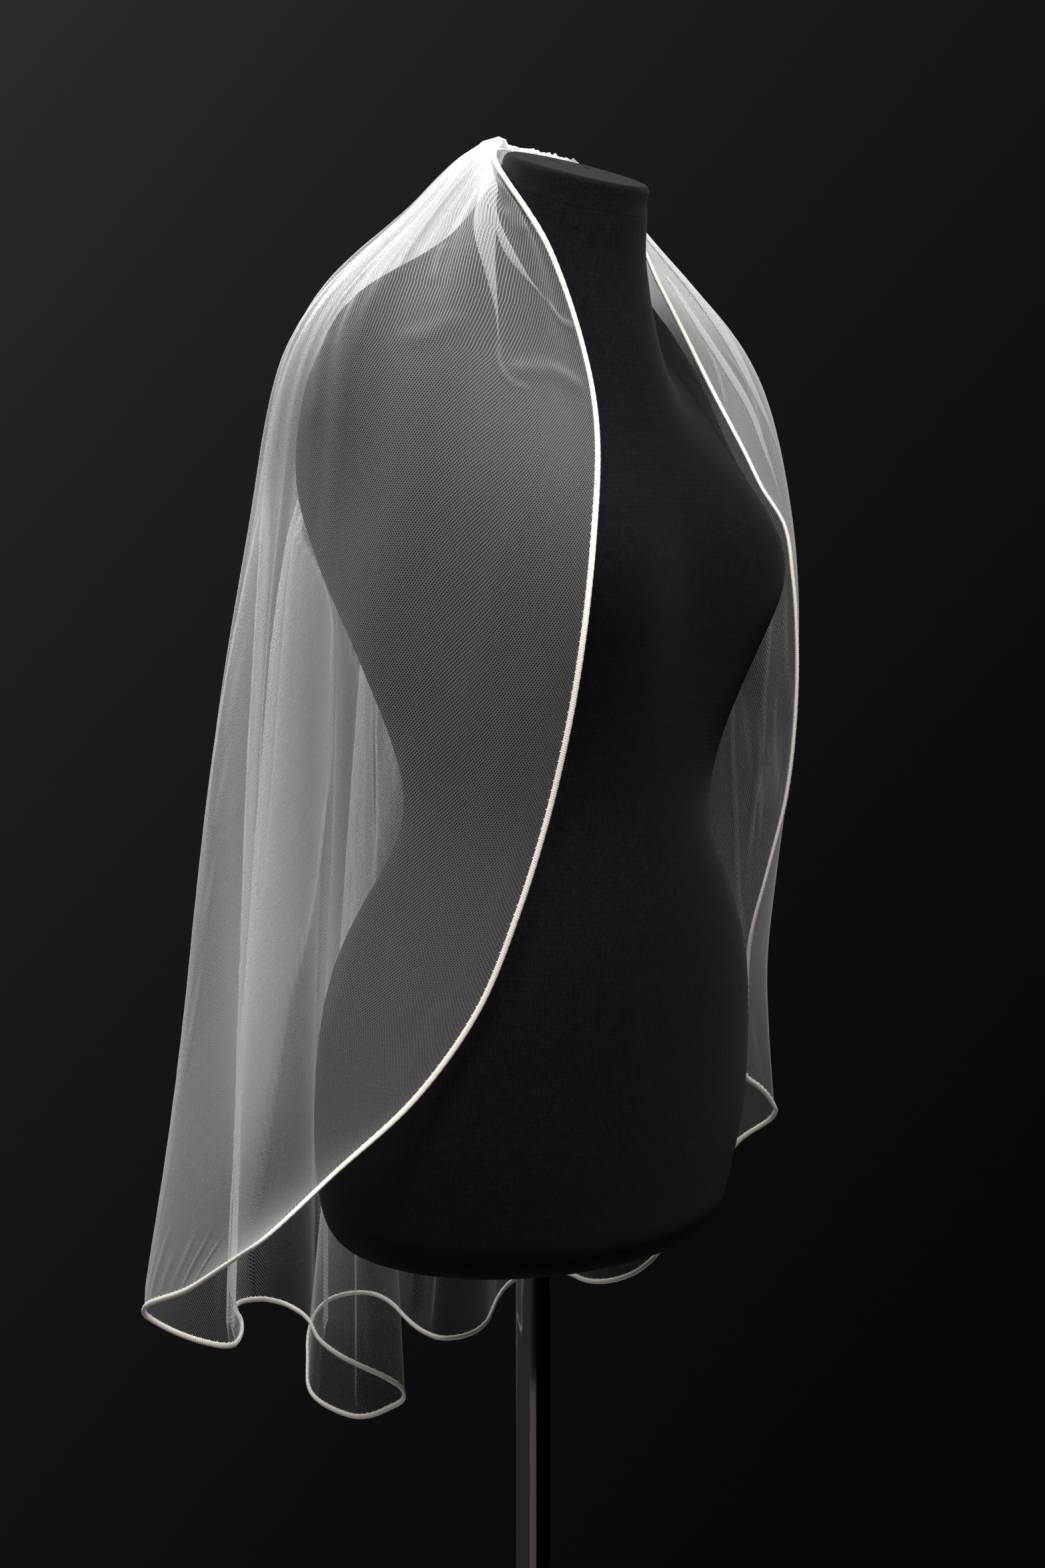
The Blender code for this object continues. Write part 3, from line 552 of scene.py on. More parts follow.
def refined(grid, cs, shares):
    # The settled net on many more lines and rows
    count, rows = grid.shape[:2]
    down = smoothAt(rowShares, grid.transpose(1, 0, 2).reshape(rows, -1), shares)
    down = down.reshape(len(shares), count, 3).transpose(1, 0, 2)
    across = smoothAt(np.linspace(0, 1, count), down.reshape(count, -1), cs)
    return across.reshape(len(cs), len(shares), 3)


# Folded-over pleats at the edges, laid on the net as two more layers: in thousandths, a share of length and
# the shares of columns at the strip's two sides, again and again down the strip; then how proud it is in mm
foldedPleats = (
    ((48, 80, 18, 65, 82, 36, 86, 83.6, 55.4, 105, 83.6, 60.4,
      123, 82.8, 62.5, 145, 79.2, 63.5, 161, 75.5, 63.6, 191, 67.9, 62.2,
      214, 62.6, 60.9, 240, 60.2, 59.8), 1.5),
    ((104, 61.2, 60.4, 115, 61.8, 58.6, 124, 62.6, 56.1, 133, 62, 51.8,
      140, 59.8, 47.9, 149, 56.1, 44.6, 162, 47, 40.1, 179, 36.2, 33.8,
      192, 27, 26.2), 1.2),
    ((60, 968, 955, 150, 965.5, 954.5, 225, 969, 960, 290, 971.5, 966,
      350, 966, 965.5), 1.4),
    ((160, 985, 979, 220, 987.2, 980, 270, 984.5, 978, 307, 982.2, 976.8,
      345, 983.5, 980, 385, 982.8, 982.4), 1.3),
)
pleatLook = {"along": 56, "across": 8, "proudest": 0.25, "roundness": 0.6, "underLayer": 0.45,
             "offNet": 0.0003}

# Creases, one by one: a curve of shares of columns and of length by turns, in thousandths; then half width
# and height in mm (a trough is negative), and how many more threads its tuck holds
creaseRows = (
    # from the near pleats' ends across to the cord
    ((28.5, 186, 16, 203, 6, 206, 0, 204), 2.2, 1.6, 1.3),
    ((60, 236, 59.2, 262, 51, 275, 40, 277), 2.2, 1.3, 0.55),
    ((58, 256, 50, 262, 40, 259, 27, 256, 11, 259, 0, 264), 6.5, 2.2, 0.22),
    ((104, 140, 103, 168, 99, 198), 3.6, 1.3, 0.32),
    ((112, 245, 106, 252, 98, 250, 88, 238, 82, 222), 8.5, 1.5, 0.08),
    ((156, 206, 157, 226, 158, 246), 3.2, 1.2, 0.5),
    ((154, 250, 153, 275, 152.5, 300, 152, 330), 8.0, 1.3, 0.12),
    ((20, 62, 14, 85, 10, 110), 2.0, 1.0, 0.5),
    ((46, 95, 34, 120, 20, 128), 5.0, 1.6, 0.25),
    # soft draws along the near edge and below the near waist
    ((50, 360, 62, 460, 70, 580), 9.0, 1.6, 0.06),
    ((26, 420, 36, 540, 44, 680), 8.0, -1.4, 0.04),
    ((12, 600, 20, 740, 28, 880), 7.0, 1.3, 0.08),
    ((84, 500, 88, 660, 86, 840), 8.0, 1.4, 0.06),
    # draws where the cord's ease gathers the near corner
    ((86, 955, 88, 975, 90, 998), 2.2, 1.0, 0.4),
    ((104, 948, 105, 970, 106, 998), 2.4, 1.1, 0.4),
    ((118, 940, 119, 965, 120, 998), 2.0, 1.1, 0.6),
    ((132, 960, 133, 978, 134, 998), 2.6, 1.0, 0.4),
    ((146, 936, 147, 964, 148, 998), 2.4, 1.2, 0.5),
    ((162, 955, 163, 975, 164, 998), 2.0, 1.0, 0.5),
    # far shoulder
    ((988, 236, 990, 256, 993, 275, 998.5, 306), 2.0, 1.3, 0.9),
    ((976, 235, 972, 275, 974, 300, 979, 330), 2.4, 1.2, 0.5),
    ((930, 190, 932, 260, 936, 330, 942, 400), 3.0, 1.8, 0.6),
    ((912, 230, 914, 300, 920, 360), 4.0, -2.0, 0.3),
    # far waist and hip, seen from inside
    ((933.5, 430, 932.5, 496, 932.1, 552, 934.8, 608, 934.3, 676, 934.3, 743), 2.2, 2.4, 1.3),
    ((942, 450, 943, 480, 947.4, 526, 957.6, 570, 968, 600), 2.0, 1.5, 1.0),
    ((942, 560, 942.5, 580, 946.8, 623, 956.2, 663, 966, 681), 2.0, 1.4, 1.0),
    ((911, 540, 912, 589, 921.8, 693, 929.7, 759, 943.3, 825), 2.4, 2.2, 1.0),
    ((915, 520, 917.1, 552, 925, 600, 933.9, 658), 2.2, -1.8, 0.8),
    ((930, 580, 932.7, 608, 938, 660, 941.9, 710), 2.2, 1.6, 0.9),
    ((944.6, 870, 945, 898, 948, 930, 951.2, 968), 2.4, 1.4, 0.8),
    ((890, 930, 891, 960, 892, 998), 2.2, 1.3, 0.6),
    ((906, 940, 908, 970, 909, 998), 2.2, 1.3, 0.6),
    # back
    ((205, 160, 208, 300, 206, 500, 210, 720), 5.0, 3.0, 0.3),
    ((265, 140, 270, 260, 278, 440, 280, 620), 6.0, 3.2, 0.25),
    ((338, 120, 335, 240, 342, 420, 340, 700), 4.5, -2.6, 0.3),
    ((404, 140, 408, 280, 402, 460, 406, 660), 6.0, 3.2, 0.25),
    ((468, 120, 472, 220, 480, 360, 482, 500), 5.0, 2.6, 0.35),
    ((556, 130, 560, 270, 554, 450, 560, 740), 5.5, 3.0, 0.25),
    ((632, 120, 638, 250, 642, 400, 640, 600), 5.0, -2.6, 0.3),
    ((702, 140, 706, 300, 700, 520, 708, 780), 6.0, 3.2, 0.25),
    ((780, 150, 776, 280, 782, 440, 780, 580), 5.0, 2.6, 0.3),
    ((850, 160, 852, 280, 858, 420, 856, 660), 5.0, 2.8, 0.3),
    ((230, 930, 231, 965, 232, 998), 2.2, 1.3, 0.5),
    ((312, 945, 313, 970, 314, 998), 2.2, 1.3, 0.5),
    ((436, 935, 437, 965, 438, 998), 2.4, 1.4, 0.5),
    ((524, 945, 525, 970, 526, 998), 2.2, 1.3, 0.5),
    ((616, 935, 615, 965, 614, 998), 2.4, 1.4, 0.5),
    ((726, 945, 727, 970, 728, 998), 2.2, 1.3, 0.5),
    ((812, 935, 811, 965, 810, 998), 2.4, 1.4, 0.5),
)

# Flattened folds that hang down the back: in thousandths, a share of length and the shares of columns at the
# two sides, again and again; then height and width of the turned edges in mm, and how many more threads
flatFolds = (
    # seen from the front, through the near panel
    ((330, 236, 244, 399, 247, 258, 473, 254, 265.5, 551, 256.2, 268,
      685, 257, 269, 790, 251, 261, 917, 239, 247, 1000, 238, 244), 3.0, 1.8, 1.5),
    ((320, 306, 316, 337, 306.3, 330, 383, 297, 380.2, 410, 293.5, 396.9,
      481, 289.4, 402, 534, 290.4, 401.4, 602, 285.9, 392, 685, 281, 376.9,
      742, 270, 366.7, 790, 261.1, 362, 858, 255, 356.4, 951, 248.8, 349.7,
      1000, 245, 348), 5.0, 2.0, 1.7),
    ((395, 411.9, 420, 428, 411.5, 432.3, 449, 411.2, 445.4, 496, 408.5, 441.8,
      576, 406, 436.8, 647, 402.5, 435.1, 720, 399.3, 418.6, 787, 401, 412.5,
      853, 401.9, 410.6, 946, 402.2, 411.5, 1000, 402.2, 411), 5.0, 2.0, 1.8),
    ((450, 568.9, 572, 490, 577, 588, 524, 585.6, 602, 554, 590, 609.8,
      590, 595.5, 606, 630, 594.9, 596.5), 3.0, 2.2, 0.6),
    # on the hidden sides
    ((200, 468, 474, 300, 470, 490, 450, 474, 506, 620, 478, 504,
      800, 483, 496, 1000, 486, 494), 4.0, 2.8, 0.6),
    ((180, 650, 656, 300, 646, 670, 480, 644, 686, 700, 652, 684,
      880, 660, 676, 1000, 662, 672), 4.5, 3.0, 0.6),
    ((240, 735, 740, 380, 732, 752, 560, 736, 764, 760, 742, 758,
      900, 746, 753, 1000, 747, 752), 3.5, 2.6, 0.7),
    ((200, 812, 817, 340, 808, 830, 520, 806, 840, 720, 812, 832,
      900, 816, 826, 1000, 817, 824), 4.0, 2.6, 0.6),
    ((360, 182, 188, 480, 180, 196, 620, 176, 198, 780, 172, 188,
      920, 170, 179, 1000, 169, 175), 2.5, 2.4, 0.4),
)

# The gathers' small pleats: how many, how high for their width, and where they have opened out
smallPleats = {"lines": 92, "steepness": 0.30, "start": (0.02, 0.06), "end": (0.14, 0.30), "seed": 4,
               "quietest": 0.10, "quietUntil": (0.09, 0.17), "streaksFrom": (0.09, 0.18),
               "streakLines": (128, 46), "streakDepth": (0.50, 0.36), "streakEnd": (0.22, 0.50)}

# Folds finer than the mesh: share of length, how close the threads lie on the near front, and how many times
# closer than the mesh's own spread on the back and on the far front
finestFolds = (
    (0.00, 16.0, 12.0, 5.5), (0.03, 9.0, 11.0, 5.0), (0.05, 4.5, 10.5, 4.4), (0.075, 2.3, 10.0, 4.0),
    (0.10, 1.7, 10.0, 3.6), (0.14, 1.40, 9.2, 3.4), (0.20, 1.40, 3.8, 3.2), (0.26, 1.45, 1.8, 3.0),
    # towards the hem the back's values drop to thin the net there, so that it shows darker: painted shade
    (0.36, 1.38, 2.0, 2.1), (0.60, 1.33, 2.2, 2.2), (0.80, 1.90, 2.2, 1.9), (0.93, 1.95, 0.8, 1.2),
    (1.00, 1.80, 0.25, 0.8),
)

# Where the net hangs more open or closer than round about, and one spot thinned as painted shade: share of
# columns, share of length, half width and half height in the same shares, and how many times closer its
# threads lie
unevenSpots = (
    (0.225, 0.285, 0.085, 0.060, 0.62),     # opened out over the near shoulder blade
    (0.578, 0.520, 0.012, 0.060, 0.50),
    (0.180, 0.860, 0.030, 0.080, 1.20),
    (0.364, 0.610, 0.030, 0.130, 1.25),
    (0.947, 0.637, 0.009, 0.035, 1.60),
    (0.924, 0.536, 0.010, 0.040, 0.60),
    # thinned so that the back's bottom loop shows darker over the backdrop: painted shade
    (0.503, 0.966, 0.030, 0.030, 0.60),
    (0.428, 0.950, 0.020, 0.035, 1.30),
    (0.045, 0.300, 0.040, 0.060, 1.18),
    (0.090, 0.760, 0.060, 0.120, 1.14),
)


def closerLines():
    # Lines of the fine net, closer together at the near and far edges where pleats lie
    lines = []
    for i in range(netPanel["columns"] - 1):
        first, last = i / (netPanel["columns"] - 1), (i + 1) / (netPanel["columns"] - 1)
        close = any(low <= first < high for low, high in netPanel["closerBands"])
        steps = netPanel["closerAcross" if close else "finerAcross"]
        lines += list(np.linspace(first, last, steps, endpoint=False))
    return np.array(lines + [1.0])


def closerRows():
    # Rows of the fine net: close over the shoulders and at the hem, where creases run across
    rows = list(rowShares[:4])
    for low, high in zip(rowShares[4:-1], rowShares[5:]):
        parts = 10 if low < 0.28 else 6 if low < 0.38 else 10 if high > 0.99 else 5
        rows += list(np.linspace(low, high, parts, endpoint=False))
    return np.array(rows + [1.0])


def lengths(grid):
    # Metres along the net at each point, across from the near edge and down from the comb
    across = np.zeros(grid.shape[:2])
    down = np.zeros(grid.shape[:2])
    across[1:] = np.cumsum(np.linalg.norm(np.diff(grid, axis=0), axis=2), axis=0)
    down[:, 1:] = np.cumsum(np.linalg.norm(np.diff(grid, axis=1), axis=2), axis=1)
    return across, down


def gatherDrop():
    # Past the near tuft the gathered edge lies low and ragged behind the cap's rim, with one gap
    c, s = fineColumns[:, None], fineShares[None, :]
    steps = netPanel["raggedSteps"]
    table = np.random.RandomState(netPanel["raggedSeed"]).uniform(-1, 1, (steps, 1))
    ragged = smoothAt(np.linspace(0, 1, steps), table, fineColumns)
    low = netPanel["tuftDrop"] * fade(c, *netPanel["tuftEnd"]) * (1 + netPanel["raggedDepth"] * ragged)
    low = low + netPanel["gapDrop"] * np.exp(-((c - netPanel["gapAt"]) / netPanel["gapWidth"]) ** 4)
    return -low * fade(s, 0.0, 0.008) * (1 - fade(s, 0.02, 0.05))


def onNet(values, c, s):
    # Values of the fine net between its points
    i = np.clip(np.searchsorted(fineColumns, c, side="right") - 1, 0, len(fineColumns) - 2)
    j = np.clip(np.searchsorted(fineShares, s, side="right") - 1, 0, len(fineShares) - 2)
    x = (c - fineColumns[i]) / (fineColumns[i + 1] - fineColumns[i])
    y = (s - fineShares[j]) / (fineShares[j + 1] - fineShares[j])
    if values.ndim == 3:
        x, y = x[..., None], y[..., None]
    return ((values[i, j] * (1 - x) + values[i + 1, j] * x) * (1 - y)
            + (values[i, j + 1] * (1 - x) + values[i + 1, j + 1] * x) * y)


def foldedStrip(rows, rise, grid, normals, places, crowd):
    # The two upper layers of one pleat, as a sheet that runs out over the strip and back under itself
    table = np.array(rows).reshape(-1, 3) / 1000
    along, half = pleatLook["along"], pleatLook["across"]
    shares = np.linspace(table[0, 0], table[-1, 0], along)
    sides = smoothAt(table[:, 0], table[:, 1:], shares)
    turn = np.concatenate([np.linspace(0, 1, half + 1), np.linspace(1, 0, half + 1)[1:]])
    c = sides[:, 1:2] + (sides[:, 0:1] - sides[:, 1:2]) * turn
    s = np.repeat(shares[:, None], len(turn), axis=1)
    wide = onNet(grid, sides[:, 0], shares) - onNet(grid, sides[:, 1], shares)
    wide = np.linalg.norm(wide, axis=1, keepdims=True)
    lift = (np.minimum(rise / 1000, pleatLook["proudest"] * wide)
            * np.sin(math.pi * turn) ** pleatLook["roundness"])
    lift[:, half + 1:] *= pleatLook["underLayer"]
    points = onNet(grid, c, s) + onNet(normals, c, s) * (lift + pleatLook["offNet"])[:, :, None]
    u, v = onNet(places[0], c, s), onNet(places[1], c, s)
    u[:, half + 1:] = 2 * u[:, half:half + 1] - u[:, half + 1:]
    faces = [(k * len(turn) + m, k * len(turn) + m + 1, (k + 1) * len(turn) + m + 1, (k + 1) * len(turn) + m)
             for k in range(along - 1) for m in range(len(turn) - 1)]
    uv = np.stack([u, 1 - v], axis=2).reshape(-1, 2)
    return points.reshape(-1, 3), faces, uv, onNet(crowd, c, s).ravel()


def nearCurve(knots, across, down):
    # The window of the net round a curve drawn on it, with each point's distance from the curve in metres
    # and its share of the way along it
    knots = np.array(knots).reshape(-1, 2) / 1000
    curve = smoothAt(np.linspace(0, 1, len(knots)), knots, np.linspace(0, 1, 8 * len(knots)))
    columns = slice(*np.searchsorted(fineColumns, (curve[:, 0].min() - 0.02, curve[:, 0].max() + 0.02)))
    rows = slice(*np.searchsorted(fineShares, (curve[:, 1].min() - 0.03, curve[:, 1].max() + 0.03)))
    perColumn = np.gradient(across, fineColumns, axis=0)[columns, rows]
    perShare = np.gradient(down, fineShares, axis=1)[columns, rows]
    c, s = fineColumns[columns, None], fineShares[None, rows]
    nearest = np.full(perColumn.shape, 9.0)
    part = np.zeros(perColumn.shape)
    for k in range(len(curve) - 1):
        runX = (curve[k + 1, 0] - curve[k, 0]) * perColumn
        runY = (curve[k + 1, 1] - curve[k, 1]) * perShare
        offX, offY = (c - curve[k, 0]) * perColumn, (s - curve[k, 1]) * perShare
        along = np.clip((offX * runX + offY * runY) / np.maximum(runX ** 2 + runY ** 2, 1e-12), 0, 1)
        far = np.hypot(offX - along * runX, offY - along * runY)
        closer = far < nearest
        nearest = np.where(closer, far, nearest)
        part = np.where(closer, (k + along) / (len(curve) - 1), part)
    return columns, rows, nearest, part


def layCreases(across, down):
    # Heights out of the net in metres, and how many times more threads each point holds
    height = np.zeros(across.shape)
    tuck = np.zeros(across.shape)
    for knots, width, rise, more in creaseRows:
        columns, rows, far, part = nearCurve(knots, across, down)
        ends = fade(part, 0.0, 0.25) * (1 - (knots[-1] < 990) * fade(part, 0.75, 1.0))
        shape = np.exp(-(far / (width / 1000)) ** 2) * ends
        height[columns, rows] += shape * rise / 1000
        tuck[columns, rows] += np.exp(-(far / (width / 1400)) ** 2) * ends * more
    return height, 1 + tuck


flatLook = {"beginsOver": 0.05, "steepest": 0.5, "rimWidth": 0.0016, "rimThreads": 1.5}


def layFlatFolds(across):
    # Low plateaus with turned edges, and how many times more threads they hold
    height = np.zeros(across.shape)
    more = np.zeros(across.shape)
    for rows, rise, edge, threads in flatFolds:
        table = np.array(rows).reshape(-1, 3) / 1000
        for j in np.nonzero((fineShares >= table[0, 0]) & (fineShares <= table[-1, 0]))[0]:
            sides = smoothAt(table[:, 0], table[:, 1:], fineShares[j])[0]
            first, last = np.interp(sides, fineColumns, across[:, j])
            turned = min(edge / 1000, max((last - first) * 0.6, 0.0006))
            plateau = (fade(across[:, j], first - turned / 2, first + turned / 2)
                       * (1 - fade(across[:, j], last - turned / 2, last + turned / 2)))
            start = float(fade(fineShares[j], table[0, 0], table[0, 0] + flatLook["beginsOver"]))
            height[:, j] += plateau * min(rise / 1000, flatLook["steepest"] * (last - first)) * start
            rim = sum(np.exp(-((across[:, j] - side) / flatLook["rimWidth"]) ** 2) for side in (first, last))
            more[:, j] += (plateau * threads + rim * flatLook["rimThreads"]) * start
    return height, 1 + more


def streaks(lines, levels, seed):
    # Uneven values from -1 to 1 that run down the net and change slowly on the way
    table = np.random.RandomState(seed).uniform(-1, 1, (lines, levels))
    byColumn = smoothAt(np.linspace(0, 1, lines), table, fineColumns)
    return smoothAt(np.linspace(0, 1, levels), byColumn.T, fineShares).T


def laySmallPleats(across):
    # Heights of the gathers' small pleats, as wide as the net's own spread allows
    spread = np.gradient(across, fineColumns, axis=0) / smallPleats["lines"]
    c, s = fineColumns[:, None], fineShares[None, :]
    calm = smallPleats["quietest"] + (1 - smallPleats["quietest"]) * fromSides(c, *smallPleats["quietUntil"])
    uneven = streaks(smallPleats["lines"] * 2, 5, smallPleats["seed"])
    return (spread * smallPleats["steepness"] * uneven * calm
            * fade(s, *smallPleats["start"]) * (1 - fade(s, *smallPleats["end"])) * fromSides(c, 0, 0.03))


clear = np.full(netPanel["columns"], netPanel["clearance"])
clear[0] = clear[-1] = netPanel["cordClearance"]
clear[1] = clear[-2] = (clear[0] + clear[2]) / 2
coarse = settle(hangingNet(), clear)
coarseSpread = np.linalg.norm(np.gradient(coarse, axis=0), axis=2)
coarseSpread[1:-1] = (coarseSpread[:-2] + coarseSpread[1:-1] + coarseSpread[2:]) / 3
coarseShares = np.array(rowShares)
coarseColumns = np.linspace(0, 1, netPanel["columns"])
cut = coarse + netNormals(coarse) * foldHeights(coarseColumns, coarseShares, coarseSpread)[:, :, None]
cut = pushClear(cut, clear)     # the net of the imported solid, which the cord lies beside
print("net settled on the form")

fineColumns, fineShares = closerLines(), closerRows()
fine = refined(cut, fineColumns, fineShares)
across, down = lengths(fine)
plainSpacing = np.linalg.norm(np.gradient(fine, fineColumns, axis=0), axis=2)
fine += gatherDrop()[:, :, None] * np.array(capUp)
creaseHeight, tucks = layCreases(across, down)
flatHeight, flatThreads = layFlatFolds(across)
tucks = tucks * flatThreads
edgeHold = fromSides(fineColumns, 0.0, 0.006)[:, None] * (1 - fade(fineShares, 0.985, 1.0))[None, :]
fine += netNormals(fine, 12) * ((creaseHeight + flatHeight + laySmallPleats(across)) * edgeHold)[:, :, None]
fine = keepOff(fine, np.full(len(fine), netPanel["fineClearance"]))
print("net refined, pleated and creased:", fine.shape)


# Where the near front ends and the far front starts, as shares of columns, and how close threads may lie
crowdLook = {"nearEnds": (0.185, 0.245), "farStarts": (0.87, 0.905), "range": (0.9, 16.0)}


def crowding():
    # How many times closer than in the flat cut the threads lie at each point
    spacing = plainSpacing.copy()
    for _ in range(3):
        evened(spacing)
        evened(spacing.T)
    crowd = np.clip(netPanel["cutWidth"] / np.maximum(spacing, 1e-6), *crowdLook["range"])
    c, s = fineColumns[:, None], fineShares[None, :]
    calm = fromSides(c, *smallPleats["streaksFrom"]) * (1 - fade(s, *smallPleats["streakEnd"]))
    uneven = sum(depth * streaks(lines, 4, smallPleats["seed"] + lines)
                 for lines, depth in zip(smallPleats["streakLines"], smallPleats["streakDepth"]))
    table = np.array(finestFolds)
    times = smoothAt(table[:, 0], table[:, 1:], fineShares).T
    middle, far = fade(c, *crowdLook["nearEnds"]), fade(c, *crowdLook["farStarts"])
    crowd = times[0] * (1 - middle) + crowd * (times[1] * middle * (1 - far) + times[2] * far)
    for atC, atS, wide, high, more in unevenSpots:
        crowd = crowd * (1 + (more - 1) * np.exp(-((c - atC) / wide) ** 4 - ((s - atS) / high) ** 4))
    return crowd * np.exp(uneven * calm) * tucks


def clothPlaces(across, down):
    # The weave's own metres: true at the edges and closed up in the gathered middle, so that each row is as
    # wide as the cut
    perColumn = np.gradient(across, fineColumns, axis=0)
    c = fineColumns[:, None]
    true = 1 - fade(c, 0.10, 0.20) + fade(c, 0.80, 0.90)
    width = netPanel["cutWidth"]

    def total(values):
        parts = (values[1:] + values[:-1]) / 2 * np.diff(fineColumns)[:, None]
        return np.concatenate([np.zeros((1, values.shape[1])), np.cumsum(parts, axis=0)])

    kept = total(perColumn * true)
    rest = total((1 - true) + 0 * perColumn)
    return kept + rest * (width - kept[-1]) / rest[-1], down


def cordPath(grid):
    # The cord's line round the net's free edges, clear of the form, and its side that faces away from the net
    count, rows = grid.shape[:2]
    path = ([(0, j) for j in range(2, rows - 1)] + [(i, rows - 1) for i in range(count)]
            + [(count - 1, j) for j in range(rows - 2, 1, -1)])
    edge = np.array([grid[place] for place in path])
    half = netPanel["cordWidth"] / 2
    centres, sides = [], []
    for k, (i, j) in enumerate(path):
        first = unit(edge[k] - edge[max(k - 1, 0)])
        second = unit(edge[min(k + 1, len(edge) - 1)] - edge[k])
        along = unit(first + second)
        inward = grid[min(max(i, 1), count - 2), min(j, rows - 2)] - edge[k]
        out = unit(along * np.dot(inward, along) - inward)
        bend = max(np.dot(along, second), np.dot(along, first), 0.6)
        centre = edge[k] + out * (half + netPanel["seamGap"]) / bend
        move = shortfall(centre, half + 0.0012)
        here = np.cross(along, out)
        centres.append(centre + here * np.sign(np.dot(here, move)) * np.linalg.norm(move))
        sides.append(out)
    for k in range(len(centres) - 1):
        for share in (0.25, 0.5, 0.75):
            move = shortfall(centres[k] * (1 - share) + centres[k + 1] * share, half + 0.0010)
            centres[k] = centres[k] + move
            centres[k + 1] = centres[k + 1] + move
    return path, np.array(centres), np.array(sides)


def makeCord(centres, sides):
    # A soft oval tube on a smooth curve through the seam's points
    steps = walked(centres)
    start, end = netPanel["cordStart"], steps[-1] - netPanel["cordStart"]
    at = np.linspace(start, end, int((end - start) / netPanel["cordStep"]))
    line, side = smoothAt(steps, centres, at), smoothAt(steps, sides, at)
    ahead = unit(np.gradient(line, axis=0))
    side = unit(side - ahead * np.sum(side * ahead, axis=1, keepdims=True))
    up = np.cross(ahead, side)
    wide, high = [netPanel[size] * netPanel["cordFullness"] for size in ("cordWidth", "cordHeight")]
    girth = math.pi * (wide + high) / 2
    rings, uv = [], []
    for k in range(len(at)):
        rings.append([])
        for m in range(netPanel["cordFacets"]):
            t = 2 * math.pi * m / netPanel["cordFacets"]
            # two plies laid round each other, as a shallow helix of two lobes
            lobe = 1 + netPanel["plyDepth"] * math.cos(2 * (t - at[k] * 2 * math.pi / netPanel["plyTurn"]))
            rings[-1].append(line[k] + side[k] * math.cos(t) * wide / 2 * lobe
                             + up[k] * math.sin(t) * high / 2 * lobe)
            uv.append((at[k], abs(m / netPanel["cordFacets"] - 0.5) * girth))
    uv += [(0, 0), (at[-1], 0)]
    made = meshPiece("satin_edge_cord", withEnds(rings), ringFaces(netPanel["cordFacets"], len(rings)),
                     cordSatin, uv)
    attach(made, "root")
    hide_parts("edge_cord")
    return made, (line, side, ahead)


path, centres, sides = cordPath(cut)
edgeCord, cordLine = makeCord(centres, sides)
print("cord laid:", len(cordLine[0]), "rings")


def makeNet():
    count, rows = fine.shape[:2]
    # the outermost lines and the hem are drawn out to the middle of the cord
    drawn = {place: centre - cut[place] for place, centre in zip(path, centres)}
    last, low, still = netPanel["columns"] - 1, len(rowShares) - 1, np.zeros(3)
    sideMoves = {i: smoothAt(rowShares, [drawn.get((i, j), still) for j in range(low + 1)], fineShares)
                 for i in (0, last)}
    hemMoves = smoothAt(coarseColumns, [drawn[i, low] for i in range(last + 1)], fineColumns)
    faces = [(i * rows + j, (i + 1) * rows + j, (i + 1) * rows + j + 1, i * rows + j + 1)
             for i in range(count - 1) for j in range(rows - 1)]
    places, crowd = clothPlaces(*lengths(fine)), crowding()
    uv = [(places[0][i, j], 1 - places[1][i, j]) for i in range(count) for j in range(rows)]
    start = int(fineShares.searchsorted(rowShares[2]))
    border = ([(0, j) for j in range(start, rows)] + [(i, rows - 1) for i in range(1, count)]
              + [(count - 1, j) for j in range(rows - 2, start - 1, -1)])
    outer = []
    for i, j in border:
        outer.append(fine[i, j] + (hemMoves[i] if j == rows - 1 else sideMoves[last if i else 0][j]))
        uv.append((places[0][i, j] + netPanel["uvMargin"] * ((i == count - 1) - (i == 0)),
                   1 - places[1][i, j] - netPanel["uvMargin"] * (j == rows - 1)))
    base = count * rows
    for k, ((i, j), (p, q)) in enumerate(zip(border, border[1:])):
        faces.append((i * rows + j, base + k, base + k + 1, p * rows + q))
    points, crowds = [fine.reshape(-1, 3), outer], [crowd.ravel(), [crowd[place] for place in border]]
    base += len(outer)
    normals = netNormals(fine, 12)
    for rowsOfPleat, rise in foldedPleats:
        more, moreFaces, moreUv, moreCrowd = foldedStrip(rowsOfPleat, rise, fine, normals, places, crowd)
        points.append(more)
        faces += [tuple(base + k for k in face) for face in moreFaces]
        uv += [tuple(pair) for pair in moreUv]
        crowds.append(moreCrowd)
        base += len(more)
    made = meshPiece("tulle_net_panel", np.vstack(points), faces, netCloth, uv)
    layer = made.data.attributes.new("crowd", "FLOAT", "POINT")
    layer.data.foreach_set("value", np.concatenate(crowds))
    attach(made, "root")
    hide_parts("veil_tulle")
    return made


netPiece = makeNet()
areaOfNet = sum(p.area for p in netPiece.data.polygons)
print("net panel:", len(netPiece.data.polygons), "faces,", round(areaOfNet, 3), "square metres")


formLook = {"levels": 1, "joinWithin": 0.00001, "flatTurn": 0.6, "squareTurn": 1.2}


def smoothedCopy(node, name, material):
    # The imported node's own shape, its loose triangles joined and rounded once more
    work = bmesh.new()
    work.from_mesh(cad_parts[node].data)
    bmesh.ops.remove_doubles(work, verts=work.verts, dist=formLook["joinWithin"])
    bmesh.ops.join_triangles(work, faces=work.faces, angle_face_threshold=formLook["flatTurn"],
                             angle_shape_threshold=formLook["squareTurn"])
    bmesh.ops.recalc_face_normals(work, faces=work.faces)
    mesh = bpy.data.meshes.new(name)
    work.to_mesh(mesh)
    work.free()
    mesh.materials.clear()
    mesh.materials.append(material)
    mesh.polygons.foreach_set("use_smooth", [True] * len(mesh.polygons))
    made = newObject(name, mesh)
    rounded = made.modifiers.new("rounded", "SUBSURF")
    rounded.levels = rounded.render_levels = formLook["levels"]
    return made


